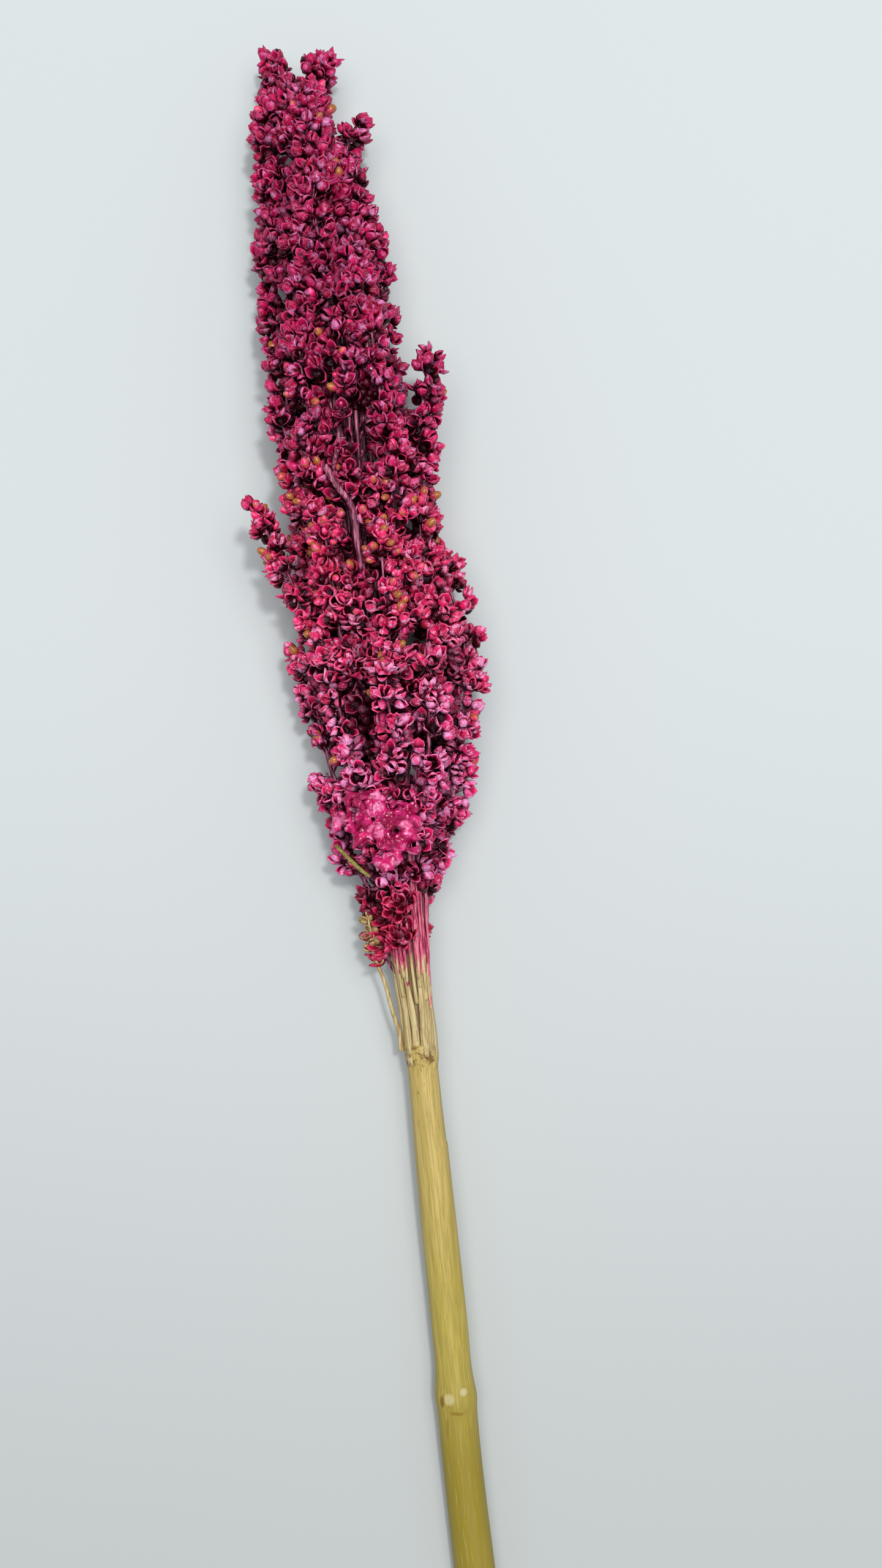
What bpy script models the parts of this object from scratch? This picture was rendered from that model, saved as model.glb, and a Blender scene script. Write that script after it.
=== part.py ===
"""Dried and painted sorghum seed head on its cut stem, lying on a flat surface.

The stem points to -Y, the head to +Y, and Z is up from the surface. The head is a central axis with whorls of
branches. Each branch carries a club of spikelets, and is a solid of its own: a tube whose outer side is raised
into pointed buds, one for each few spikelets. Dimensions are in millimetres until the meshes are made.
"""

import math
import random

import bpy
import numpy as np

MM = 0.001
SEED = 41

# Middle line of the stalk from the cut end to the head's tip, as (x, y, z).
MIDDLE_LINE = (
    (35.4, -256, 6.5), (29.6, -206, 8.6), (26.0, -166, 10.5), (21.0, -118, 13.0), (16.8, -76, 15.2),
    (13.0, -42, 17.2), (7.8, 10, 20.4), (1.6, 58, 23.0), (-3.6, 104, 24.4), (-9.8, 152, 24.2),
    (-17.8, 202, 22.0), (-24.4, 250, 18.5),
)
# Radius of the stem from the cut end to the swollen ring that the lowest branches grow from, as (y, radius).
STEM_RADIUS = (
    (-256, 6.8), (-212, 6.5), (-194, 6.55), (-188, 6.7), (-182, 6.1), (-166, 5.95), (-134, 5.75), (-104, 5.3),
    (-86, 5.0), (-79, 5.05), (-76, 5.5), (-73, 5.2), (-60, 5.6), (-44, 6.2),
)
# Radius of the painted axis inside the head, as (y, radius).
RACHIS_RADIUS = ((-44, 3.3), (0, 3.3), (60, 2.9), (120, 2.3), (180, 1.7), (244, 0.9))
# Reach of the head from its middle line to the left, to the right and upwards, as (y, left, right, up).
HEAD_REACH = (
    (-48, 11, 7, 9), (-25, 20, 11, 13), (0, 25, 21, 19), (30, 27, 30, 24), (60, 26, 37, 26), (95, 26, 28, 26),
    (120, 27, 29, 25), (160, 25, 22, 22), (200, 21, 19, 17), (225, 18, 11, 13), (250, 10, 9, 9),
)
SAG = 1.2  # the underside hangs lower than the top rises, and then flattens on the surface
PRESSED_FLAT = 3.4  # how far the points of the lowest buds would reach below the surface

# Whorls of branches from the lowest up: where the spikelets start, how long the clubs are, how many branches,
# the direction of the first one in degrees, and the bare length below the spikelets.
WHORLS = (
    (-38, 60, 6, 0, 4.6), (-14, 70, 8, 180, 9), (22, 72, 9, 0, 18), (58, 70, 7, 13, 18), (94, 66, 7, 13, 17),
    (128, 62, 6, 180, 15), (160, 56, 5, 20, 13), (192, 44, 4, 180, 10), (219, 29, 2, 0, 6),
)
# Branches whose tips stand out of the head, as {(whorl, branch): (distance outwards, change of length)}.
STRAYS = {
    (2, 4): (13.0, 1.08), (4, 0): (11.0, 0.86), (7, 2): (12.0, 0.80), (6, 0): (4.0, 0.85), (1, 0): (2.0, 1.0),
    (8, 0): (9.0, 1.0), (8, 1): (2.0, 1.03),
}
# A parting runs along the head's top where the dark inside shows: the branches of these whorls keep this far
# from its direction, in degrees.
PARTED = (3, 4, 5)
PARTING = 90.0
PARTING_HALF = 40.0

CLUB_RADIUS = 5.2  # of the valleys between the buds
BUD_HEIGHT = 3.6
BUD_LEAN = 2.4  # how far a bud's point lies towards the branch's tip
BUD_PITCH = 6.0
BARE_RADIUS = 1.0
SPRIG_ROUTE = (
    (10.3, -74.0, 16.0), (8.6, -64.0, 17.5), (5.0, -53.0, 19.0), (2.6, -45.0, 20.0), (0.4, -37.0, 21.0),
    (-1.2, -28.0, 22.0),
)
SPRIG_CLUB = 16.0
SPRIG_SLIM = 0.55  # size of the dry sprig's parts against those of the other branches
SPRIG_BARE_RADIUS = 0.7
LONG_BARE = 8.0  # a bare length over this takes a ring half way up
CLUB_END = 0.97  # share of the club where the last ring is, and a point closes it beyond that
TIP_BEYOND = 1.5
# Directions of the valleys round a club, measured from straight outwards. Buds fill the first spaces between
# them, and the last two spaces face the axis and are plain, but on a stray branch each space has its bud.
VALLEYS = (-112, -56, 0, 56, 112, 180)
BUD_SIDES = 4
STRAY_VALLEYS = (-90, -30, 30, 90, 150, 210)

PATH_POINTS = 90
LEAVES_AXIS = 0.12  # a branch runs along the axis up to here, in club lengths below its first spikelets
SETTLES = 0.5  # and reaches the outside of the head here, in club lengths above them
TOUCH_GAP = 0.35
NEIGHBOUR_GAP = 1.0
CLAIM = 0.55  # share of a club's radius that counts when two branches divide the space between them
BARE_CLAIM = 1.8
LEAST_SHARE = 0.12  # a point is drawn in to this share of its distance from the branch's middle, at the most
DRAW_STEPS = 16

JOINT_SWELL = 1.06
RACHIS_COLUMNS = 8
BUNDLE_FEET = 12  # bare branch feet round the stem's top, each a ridge of one column between two valleys
BUNDLE_DEPTH = 1.5
BUNDLE_STARTS_OVER = 5.0  # length over which the ridges rise above the ring
STEM_TOP = -44.0
WHORL_RING = -76.0

CENTRE = (1.4, -1.335, 0.0)  # of the box round the whole part, on the surface: taken off every point

MATERIALS = {
    "dry_stem": ((0.62, 0.50, 0.22), 0.55),
    "painted_spikelets": ((0.42, 0.035, 0.13), 0.42),
    "painted_axis": ((0.24, 0.03, 0.09), 0.5),
    "dry_glumes": ((0.50, 0.33, 0.14), 0.65),
}


def smooth_at(stations, values, at):
    """Values between stations, on a curve with no corners."""
    x = np.asarray(stations, float)
    v = np.asarray(values, float)
    at = np.clip(np.asarray(at, float), x[0], x[-1])
    slope = np.gradient(v, x)
    k = np.clip(np.searchsorted(x, at, side="right") - 1, 0, len(x) - 2)
    h = x[k + 1] - x[k]
    t = (at - x[k]) / h
    return (
        (2 * t**3 - 3 * t**2 + 1) * v[k] + (t**3 - 2 * t**2 + t) * h * slope[k]
        + (3 * t**2 - 2 * t**3) * v[k + 1] + (t**3 - t**2) * h * slope[k + 1]
    )


def column(table, index, at):
    return smooth_at([row[0] for row in table], [row[index] for row in table], at)


def middle(y):
    ys = [p[1] for p in MIDDLE_LINE]
    x = smooth_at(ys, [p[0] for p in MIDDLE_LINE], y)
    z = smooth_at(ys, [p[2] for p in MIDDLE_LINE], y)
    return np.stack([x, np.asarray(y, float) + 0 * x, z], -1)


def reach(y, degrees):
    """How far the head reaches from its middle line in a direction: 0 is right, 90 is up."""
    angle = np.radians(degrees)
    side = np.where(np.cos(angle) > 0, column(HEAD_REACH, 2, y), column(HEAD_REACH, 1, y))
    height = column(HEAD_REACH, 3, y) * (1.0 if np.sin(angle) > 0 else SAG)
    oval = 1 / np.sqrt((np.cos(angle) / side) ** 2 + (np.sin(angle) / height) ** 2)
    to_surface = (middle(y)[..., 2] + PRESSED_FLAT) / max(-np.sin(angle), 0.05)
    return np.minimum(oval, to_surface)


def unit(v):
    return v / np.maximum(np.linalg.norm(v, axis=-1, keepdims=True), 1e-9)


def club_shape(t):
    """Share of the full radius along a club: it swells quickly and tapers to the tip."""
    return np.interp(t, [0, 0.1, 0.3, 0.7, 0.9, 1.0], [0.5, 0.85, 1.0, 0.88, 0.64, 0.42])


def branch_path(start, length, bare, degrees, outward):
    """Points of a branch's middle line, and each point's place along the club (negative where it is bare)."""
    t = np.linspace(-bare / length, 1, PATH_POINTS)
    y = start + length * t
    inner = column(RACHIS_RADIUS, 1, y) + BARE_RADIUS + TOUCH_GAP + 0.1
    wanted = reach(y, degrees) - CLUB_RADIUS * club_shape(np.clip(t, 0, 1)) - 0.75 * BUD_HEIGHT
    rise = np.clip((t + LEAVES_AXIS) / (SETTLES + LEAVES_AXIS), 0, 1)
    rise = rise * rise * (3 - 2 * rise)
    out = inner + (np.maximum(wanted, inner + 1) - inner) * rise + outward * np.clip(t, 0, 1) ** 2.2
    angle = math.radians(degrees)
    direction = np.array([math.cos(angle), 0, math.sin(angle)])
    points = middle(y) + out[:, None] * direction
    return points, t


def beside_parting(degrees):
    """The direction, turned to the nearer side of the parting where it lies in it."""
    off = (degrees - PARTING + 180) % 360 - 180
    return PARTING + math.copysign(max(abs(off), PARTING_HALF), off)


def all_branches():
    """One dictionary for each branch: its name, path and length."""
    rng = random.Random(SEED)
    branches = []
    for w, (start, length, count, first, bare) in enumerate(WHORLS):
        for b in range(count):
            outward, change = STRAYS.get((w, b), (0.0, 1.0))
            jitter = 0.35 if (w, b) in STRAYS else 1.0
            degrees = first + 360 * b / count + jitter * rng.uniform(-8, 8)
            if w in PARTED:
                degrees = beside_parting(degrees)
            from_y = start + jitter * rng.uniform(-4, 4) * (w > 0)
            long = length * change * (1 + jitter * rng.uniform(-0.08, 0.08))
            outward += rng.uniform(-0.5, 2.0)
            points, t = branch_path(from_y, long, bare, degrees, outward)
            branches.append({
                "name": f"spray_{len(branches) + 1:02d}", "points": points, "t": t, "length": long, "slim": 1.0,
                "stray": (w, b) in STRAYS,
            })
    return branches


def dry_sprig_branch():
    """The unpainted sprig that grows from the lowest ring on the left and stays outside the head."""
    ys = [p[1] for p in SPRIG_ROUTE]
    y = np.linspace(ys[0], ys[-1], PATH_POINTS)
    x, z = (smooth_at(ys, [p[i] for p in SPRIG_ROUTE], y) for i in (0, 2))
    t = (y - (ys[-1] - SPRIG_CLUB)) / SPRIG_CLUB
    return {
        "name": "dry_sprig", "points": np.stack([x, y, z], -1), "t": t, "length": SPRIG_CLUB, "slim": SPRIG_SLIM,
        "stray": False,
    }


def wanted_radius(branch):
    """Radius that a branch claims at each point of its path."""
    club = CLUB_RADIUS * branch["slim"] * club_shape(np.clip(branch["t"], 0, 1)) * CLAIM
    return np.maximum(np.where(branch["t"] < 0, 0, club), BARE_CLAIM)


def nearness(points, path, radii):
    """Distance of each point from the surface that a path claims."""
    away = np.linalg.norm(points[:, None, :] - path[None, :, :], axis=2)
    return (away - radii[None, :]).min(1)


def off_the_middle(points, outward):
    """Whether each point is beyond a plane that touches the axis, or the stem's top, on the branch's side."""
    beyond = ((points - middle(points[:, 1])) * outward).sum(1)
    axis = column(RACHIS_RADIUS, 1, points[:, 1]) * JOINT_SWELL
    stem = column(STEM_RADIUS, 1, points[:, 1])
    return beyond > np.where(points[:, 1] < STEM_TOP + TOUCH_GAP, stem, axis) + TOUCH_GAP


def drawn_in(points, centres, outward, own, others):
    """The points, each moved towards its branch's middle line until it is clear of everything else."""
    placed = centres + (points - centres) * LEAST_SHARE
    waiting = np.arange(len(points))
    for share in np.linspace(1, LEAST_SHARE, DRAW_STEPS):
        moved = centres[waiting] + (points[waiting] - centres[waiting]) * share
        clear = nearness(moved, *others) - nearness(moved, *own) > NEIGHBOUR_GAP
        clear &= off_the_middle(moved, outward[waiting])
        placed[waiting[clear]] = moved[clear]
        waiting = waiting[~clear]
        if not len(waiting):
            break
    return placed


def ring_frames(points, at):
    """Centre, direction along the branch, outward direction and sideways direction at shares of its path."""
    k = np.interp(at, np.linspace(0, 1, len(points)), np.arange(len(points)))
    centre = np.stack([np.interp(k, np.arange(len(points)), points[:, i]) for i in range(3)], -1)
    slope = np.gradient(points, axis=0)
    along = unit(np.stack([np.interp(k, np.arange(len(points)), slope[:, i]) for i in range(3)], -1))
    away = centre - middle(centre[:, 1])
    away = unit(away - (away * along).sum(-1, keepdims=True) * along)
    return centre, along, away, np.cross(along, away)


def ring_places(branch):
    """Places of a branch's rings along it, and the number of the last ring on its bare part."""
    t0 = branch["t"][0]
    long_bare = -t0 * branch["length"] > LONG_BARE
    bare = [t0, t0 / 2, t0 / 12] if long_bare else [t0, t0 / 10]
    rows = max(3, round(branch["length"] / BUD_PITCH))
    club = [CLUB_END * (j + 1) / rows for j in range(rows)]
    return np.array(bare + club), len(bare) - 1


def branch_mesh(branch, rng, others):
    """Vertices and faces of one branch: a slim bare foot, and a club whose outer side is raised into buds."""
    slim = branch["slim"]
    places, last_bare = ring_places(branch)
    shape = club_shape(np.clip(places, 0, 1))
    t0 = branch["t"][0]
    centre, along, away, side = ring_frames(branch["points"], (places - t0) / (1 - t0))
    valleys = np.radians(STRAY_VALLEYS if branch["stray"] else VALLEYS)
    bud_sides = len(valleys) if branch["stray"] else BUD_SIDES
    n = len(valleys)
    vertices, rings, faces = [], [], [tuple(reversed(range(n)))]
    for j in range(len(places)):
        for angle in valleys:
            radius, shift = (BARE_RADIUS if slim == 1.0 else SPRIG_BARE_RADIUS), 0.0
            if j > last_bare:
                angle += rng.uniform(-0.14, 0.14)
                radius = CLUB_RADIUS * slim * shape[j] * rng.uniform(0.85, 1.12)
                shift = rng.uniform(-0.8, 0.8)
            ray = away[j] * math.cos(angle) + side[j] * math.sin(angle)
            vertices.append(centre[j] + ray * radius + along[j] * shift)
            rings.append(j)
    for j in range(len(places) - 1):
        for c in range(n):
            a, b = j * n + c, j * n + (c + 1) % n
            d, e = a + n, b + n
            if j < last_bare or c >= bud_sides:
                faces.append((a, b, e, d))
                continue
            base = (vertices[a] + vertices[b] + vertices[d] + vertices[e]) / 4
            height = BUD_HEIGHT * slim * (0.7 + 0.3 * shape[j]) * rng.uniform(0.85, 1.2)
            lean = BUD_LEAN * slim * rng.uniform(0.6, 1.3)
            sideways = rng.uniform(-0.7, 0.7)
            vertices.append(base + unit(base - centre[j]) * height + along[j] * lean + side[j] * sideways)
            rings.append(j)
            point = len(vertices) - 1
            faces += [(a, b, point), (b, e, point), (e, d, point), (d, a, point)]
    last = (len(places) - 1) * n
    vertices.append(branch["points"][-1] + along[-1] * TIP_BEYOND)
    rings.append(len(places) - 1)
    faces += [(last + c, last + (c + 1) % n, len(vertices) - 1) for c in range(n)]
    own = (branch["points"], wanted_radius(branch))
    placed = drawn_in(np.array(vertices), centre[rings], away[rings], own, others)
    placed[:, 2] = np.maximum(placed[:, 2], 0.0)
    return placed, faces


def tube_mesh(ys, radii, columns, depths=None):
    """A closed tube along the middle line. Every second column is drawn in by the depth given for its ring."""
    centre = middle(np.array(ys, float))
    vertices = []
    for j, r in enumerate(radii):
        depth = depths[j] if depths else 0.0
        for c in range(columns):
            a = 2 * math.pi * c / columns
            reach_out = r - depth * (c % 2)
            x = centre[j][0] + reach_out * math.cos(a)
            z = centre[j][2] + reach_out * math.sin(a)
            vertices.append((x, centre[j][1], max(z, 0.0)))
    faces = [tuple(range(columns))]
    for j in range(len(radii) - 1):
        for c in range(columns):
            a, b = j * columns + c, j * columns + (c + 1) % columns
            faces.append((a, a + columns, b + columns, b))
    faces.append(tuple(reversed(range((len(radii) - 1) * columns, len(radii) * columns))))
    return vertices, faces


def stem_mesh():
    """The stem with its joint, its cut end and, above the swollen ring, the ridged bundle of branch feet."""
    ys = (-256, -234, -212, -196, -188, -182, -166, -150, -134, -112, -92, -79, -76, -73, -66, -55, STEM_TOP)
    radii = [float(column(STEM_RADIUS, 1, y)) for y in ys]
    depths = [BUNDLE_DEPTH * min(1.0, max(0.0, (y - WHORL_RING) / BUNDLE_STARTS_OVER)) for y in ys]
    return tube_mesh(ys, radii, 2 * BUNDLE_FEET, depths)


def rachis_mesh():
    """The painted axis, swollen at the joint of each whorl."""
    ys = [STEM_TOP + TOUCH_GAP]
    radii = [float(column(RACHIS_RADIUS, 1, STEM_TOP))]
    for start, _, _, _, bare in WHORLS[1:]:
        joint = start - bare
        for offset, swell in ((-5, 0.96), (0, JOINT_SWELL)):
            ys.append(joint + offset)
            radii.append(float(column(RACHIS_RADIUS, 1, joint)) * swell)
    ys.append(RACHIS_RADIUS[-1][0] - 6)
    radii.append(RACHIS_RADIUS[-1][1])
    return tube_mesh(ys, radii, RACHIS_COLUMNS)


def add_object(name, vertices, faces, material, smooth=False):
    mesh = bpy.data.meshes.new(name)
    mesh.from_pydata([tuple((c - o) * MM for c, o in zip(v, CENTRE)) for v in vertices], [], faces)
    mesh.validate()
    mesh.update()
    mesh.materials.append(material)
    if smooth:
        mesh.shade_smooth()
        mesh.set_sharp_from_angle(angle=math.radians(40))
    made = bpy.data.objects.new(name, mesh)
    bpy.context.scene.collection.objects.link(made)
    return made


def make_material(name):
    colour, roughness = MATERIALS[name]
    material = bpy.data.materials.new(name)
    material.use_nodes = True
    shader = material.node_tree.nodes["Principled BSDF"]
    shader.inputs["Base Color"].default_value = (*colour, 1.0)
    shader.inputs["Roughness"].default_value = roughness
    shader.inputs["Metallic"].default_value = 0.0
    return material


def main():
    for old in list(bpy.data.objects):
        bpy.data.objects.remove(old, do_unlink=True)
    materials = {name: make_material(name) for name in MATERIALS}
    add_object("stem", *stem_mesh(), materials["dry_stem"], smooth=True)
    add_object("rachis", *rachis_mesh(), materials["painted_axis"], smooth=True)
    branches = all_branches() + [dry_sprig_branch()]
    rng = random.Random(SEED + 1)
    for branch in branches:
        others = [b for b in branches if b is not branch]
        claimed = (
            np.concatenate([b["points"] for b in others]),
            np.concatenate([wanted_radius(b) for b in others]),
        )
        look = "dry_glumes" if branch["name"] == "dry_sprig" else "painted_spikelets"
        vertices, faces = branch_mesh(branch, rng, claimed)
        add_object(branch["name"], vertices, faces, materials[look])


main()
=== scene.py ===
"""Looks of a dried, painted sorghum seed head lying on a pale surface.

The head's branches follow the rule that its solids follow, in millimetres, and the made meshes are in metres.
Each whorl of branches is one piece: thin axes, and on them cups, buds, seeds and narrow sterile spikelets.
"""

import math
import random

import bpy
import numpy as np
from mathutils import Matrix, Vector
from mathutils.noise import turbulence


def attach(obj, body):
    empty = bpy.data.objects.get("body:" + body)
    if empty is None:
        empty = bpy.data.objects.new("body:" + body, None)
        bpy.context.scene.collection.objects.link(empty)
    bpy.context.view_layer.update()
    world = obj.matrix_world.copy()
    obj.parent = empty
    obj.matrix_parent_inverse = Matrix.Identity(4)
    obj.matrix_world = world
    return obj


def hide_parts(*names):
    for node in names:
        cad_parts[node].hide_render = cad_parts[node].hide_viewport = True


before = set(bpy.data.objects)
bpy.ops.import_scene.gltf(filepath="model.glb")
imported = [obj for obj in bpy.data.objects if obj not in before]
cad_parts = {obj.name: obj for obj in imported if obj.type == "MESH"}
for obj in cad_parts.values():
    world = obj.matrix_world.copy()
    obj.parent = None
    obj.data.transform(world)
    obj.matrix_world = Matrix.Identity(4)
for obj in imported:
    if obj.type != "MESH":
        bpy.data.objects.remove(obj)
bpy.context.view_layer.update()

MM = 0.001
SEED = 41
CENTRE = np.array((1.4, -1.335, 0.0))  # of the box round the whole part: taken off every point

# Layout of the head, by the rule of its solids

MIDDLE_LINE = (
    (35.4, -256, 6.5), (29.6, -206, 8.6), (26.0, -166, 10.5), (21.0, -118, 13.0), (16.8, -76, 15.2),
    (13.0, -42, 17.2), (7.8, 10, 20.4), (1.6, 58, 23.0), (-3.6, 104, 24.4), (-9.8, 152, 24.2),
    (-17.8, 202, 22.0), (-24.4, 250, 18.5),
)
STEM_RADIUS = (
    (-256, 6.8), (-212, 6.5), (-194, 6.55), (-188, 6.7), (-182, 6.1), (-166, 5.95), (-134, 5.75), (-104, 5.3),
    (-86, 5.0), (-79, 5.05), (-76, 5.5), (-73, 5.2), (-60, 5.6), (-44, 6.2),
)
RACHIS_RADIUS = ((-44, 3.3), (0, 3.3), (60, 2.9), (120, 2.3), (180, 1.7), (244, 0.9))
HEAD_REACH = (
    (-48, 11, 7, 9), (-25, 20, 11, 13), (0, 25, 21, 19), (30, 27, 30, 24), (60, 26, 37, 26), (95, 26, 28, 26),
    (120, 27, 29, 25), (160, 25, 22, 22), (200, 21, 19, 17), (225, 18, 11, 13), (250, 10, 9, 9),
)
SAG = 1.2  # how much deeper the head is below its middle line than above it
PRESSED_FLAT = 3.4
# Each whorl's place along the head, length, number of branches, first direction and bare length
WHORLS = (
    (-38, 60, 6, 0, 4.6), (-14, 70, 8, 180, 9), (22, 72, 9, 0, 18), (58, 70, 7, 13, 18), (94, 66, 7, 13, 17),
    (128, 62, 6, 180, 15), (160, 56, 5, 20, 13), (192, 44, 4, 180, 10), (219, 29, 2, 0, 6),
)
# Branches that stand away from the rest, by whorl and number: how far, and the change of their length
STRAYS = {
    (2, 4): (13.0, 1.08), (4, 0): (11.0, 0.86), (7, 2): (12.0, 0.80), (6, 0): (4.0, 0.85), (1, 0): (2.0, 1.0),
    (8, 0): (4.5, 1.0), (8, 1): (2.0, 1.0),
}
PARTED = (3, 4, 5)
PARTING = 90.0
PARTING_HALF = 40.0
CLUB_RADIUS = 5.2
BUD_HEIGHT = 3.6
BARE_RADIUS = 1.0
PATH_POINTS = 90
LEAVES_AXIS = 0.12
SETTLES = 0.5
TOUCH_GAP = 0.35
CLAIM = 0.55
BARE_CLAIM = 1.8
SPRIG_ROUTE = (
    (10.3, -74.0, 16.0), (8.6, -64.0, 17.5), (5.0, -53.0, 19.0), (2.6, -45.0, 20.0), (0.4, -37.0, 21.0),
    (-1.2, -28.0, 22.0),
)
STEM_TOP = -44.0
WHORL_RING = -76.0


def smooth_at(stations, values, at):
    """Values between stations, on a curve with no corners."""
    x = np.asarray(stations, float)
    v = np.asarray(values, float)
    at = np.clip(np.asarray(at, float), x[0], x[-1])
    slope = np.gradient(v, x)
    k = np.clip(np.searchsorted(x, at, side="right") - 1, 0, len(x) - 2)
    h = x[k + 1] - x[k]
    t = (at - x[k]) / h
    return (
        (2 * t**3 - 3 * t**2 + 1) * v[k] + (t**3 - 2 * t**2 + t) * h * slope[k]
        + (3 * t**2 - 2 * t**3) * v[k + 1] + (t**3 - t**2) * h * slope[k + 1]
    )


def column(table, index, at):
    return smooth_at([row[0] for row in table], [row[index] for row in table], at)


def middle(y):
    ys = [p[1] for p in MIDDLE_LINE]
    x = smooth_at(ys, [p[0] for p in MIDDLE_LINE], y)
    z = smooth_at(ys, [p[2] for p in MIDDLE_LINE], y)
    return np.stack([x, np.asarray(y, float) + 0 * x, z], -1)


def reach(y, degrees):
    """How far the head reaches from its middle line in a direction: 0 is right, 90 is up."""
    angle = np.radians(degrees)
    side = np.where(np.cos(angle) > 0, column(HEAD_REACH, 2, y), column(HEAD_REACH, 1, y))
    height = column(HEAD_REACH, 3, y) * np.where(np.sin(angle) > 0, 1.0, SAG)
    oval = 1 / np.sqrt((np.cos(angle) / side) ** 2 + (np.sin(angle) / height) ** 2)
    to_surface = (middle(y)[..., 2] + PRESSED_FLAT) / np.maximum(-np.sin(angle), 0.05)
    return np.minimum(oval, to_surface)


def unit(v):
    return v / np.maximum(np.linalg.norm(v, axis=-1, keepdims=True), 1e-9)


def ray(degrees):
    """The direction straight out from the middle line: 0 is right, 90 is up."""
    angle = np.radians(degrees)
    return np.stack([np.cos(angle), 0 * angle, np.sin(angle)], -1)


def random_of(rng, *ranges):
    """A vector with each part drawn from its own range."""
    return np.array([rng.uniform(low, high) for low, high in ranges])


def club_shape(t):
    """Share of the full radius along a club: it swells quickly and tapers to the tip."""
    return np.interp(t, [0, 0.1, 0.3, 0.7, 0.9, 1.0], [0.5, 0.85, 1.0, 0.88, 0.64, 0.42])


def branch_path(start, length, bare, degrees, outward):
    """Points of a branch's middle line, and each point's place along the club (negative where it is bare)."""
    t = np.linspace(-bare / length, 1, PATH_POINTS)
    y = start + length * t
    inner = column(RACHIS_RADIUS, 1, y) + BARE_RADIUS + TOUCH_GAP + 0.1
    wanted = reach(y, degrees) - CLUB_RADIUS * club_shape(np.clip(t, 0, 1)) - 0.75 * BUD_HEIGHT
    rise = np.clip((t + LEAVES_AXIS) / (SETTLES + LEAVES_AXIS), 0, 1)
    rise = rise * rise * (3 - 2 * rise)
    out = inner + (np.maximum(wanted, inner + 1) - inner) * rise + outward * np.clip(t, 0, 1) ** 2.2
    return middle(y) + out[:, None] * ray(degrees), t


def beside_parting(degrees):
    """The direction, turned to the nearer side of the parting where it lies in it."""
    off = (degrees - PARTING + 180) % 360 - 180
    return PARTING + math.copysign(max(abs(off), PARTING_HALF), off)


def all_branches():
    """One dictionary for each branch: its name, whorl, path and length."""
    rng = random.Random(SEED)
    branches = []
    for w, (start, length, count, first, bare) in enumerate(WHORLS):
        for b in range(count):
            outward, change = STRAYS.get((w, b), (0.0, 1.0))
            jitter = 0.35 if (w, b) in STRAYS else 1.0
            degrees = first + 360 * b / count + jitter * rng.uniform(-8, 8)
            if w in PARTED:
                degrees = beside_parting(degrees)
            from_y = start + jitter * rng.uniform(-4, 4) * (w > 0)
            long = length * change * (1 + jitter * rng.uniform(-0.08, 0.08))
            outward += rng.uniform(-0.5, 2.0)
            points, t = branch_path(from_y, long, bare, degrees, outward)
            branches.append({
                "name": f"spray_{len(branches) + 1:02d}", "whorl": w, "points": points, "t": t,
                "length": long, "stray": (w, b) in STRAYS,
            })
    return branches


def wanted_radius(branch):
    """Radius that a branch claims at each point of its path."""
    club = CLUB_RADIUS * club_shape(np.clip(branch["t"], 0, 1)) * CLAIM
    return np.maximum(np.where(branch["t"] < 0, 0, club), BARE_CLAIM)


def nearness(points, path, radii):
    """Distance of each point from the surface that a path claims."""
    away = np.linalg.norm(points[:, None, :] - path[None, :, :], axis=2)
    return (away - radii[None, :]).min(1)


def frames_at(branch, t):
    """Centre, direction along the branch, outward direction and sideways direction at places along it."""
    points = branch["points"]
    slope = np.gradient(points, axis=0)
    centre = np.stack([np.interp(t, branch["t"], points[:, i]) for i in range(3)], -1)
    along = unit(np.stack([np.interp(t, branch["t"], slope[:, i]) for i in range(3)], -1))
    away = centre - middle(centre[:, 1])
    away = unit(away - (away * along).sum(-1, keepdims=True) * along)
    return centre, along, away, np.cross(along, away)


# The photograph's view

PHOTO_MM_PER_PIXEL = 0.2
PHOTO_ORIGIN = (604, 1348)
PHOTO_SIZE = (1440, 2560)
MIDDLE_HEIGHT = 20.0  # the height at which the photograph's scale was taken
CAMERA_HEIGHT = 620.0
CAMERA_AT = np.array((PHOTO_SIZE[0] / 2 - PHOTO_ORIGIN[0], PHOTO_ORIGIN[1] - PHOTO_SIZE[1] / 2))


def from_photo(px, py, z=MIDDLE_HEIGHT):
    """The layout's point at a height that a pixel of the photograph shows."""
    at = np.array((px - PHOTO_ORIGIN[0], PHOTO_ORIGIN[1] - py))
    nearer = (CAMERA_HEIGHT - z) / (CAMERA_HEIGHT - MIDDLE_HEIGHT)
    return np.append(PHOTO_MM_PER_PIXEL * (CAMERA_AT + (at - CAMERA_AT) * nearer), z)


def path_from_photo(route, heights):
    """A smooth path of thirty points over pixels of the photograph, at a height for each."""
    stations = np.linspace(0, 1, len(route))
    spots = np.array([from_photo(px, py, z) for (px, py), z in zip(route, heights)])
    share = np.linspace(0, 1, 30)
    return np.stack([smooth_at(stations, spots[:, i], share) for i in range(3)], -1)


# Small shapes, each as points, triangles, and for each point: nearness to a rim, inside, along and across

GLUME_ROWS = (0.0, 0.2, 0.48, 0.76, 1.0)
GLUME_COLUMNS = (-1.0, -0.52, 0.0, 0.52, 1.0)
GLUME_THICKNESS = 0.34


def split_quad(q):
    """The triangles of a quad, without those that have no area because two corners are one point."""
    return [t for t in ((q[0], q[1], q[2]), (q[0], q[2], q[3])) if len(set(t)) == 3]


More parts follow.
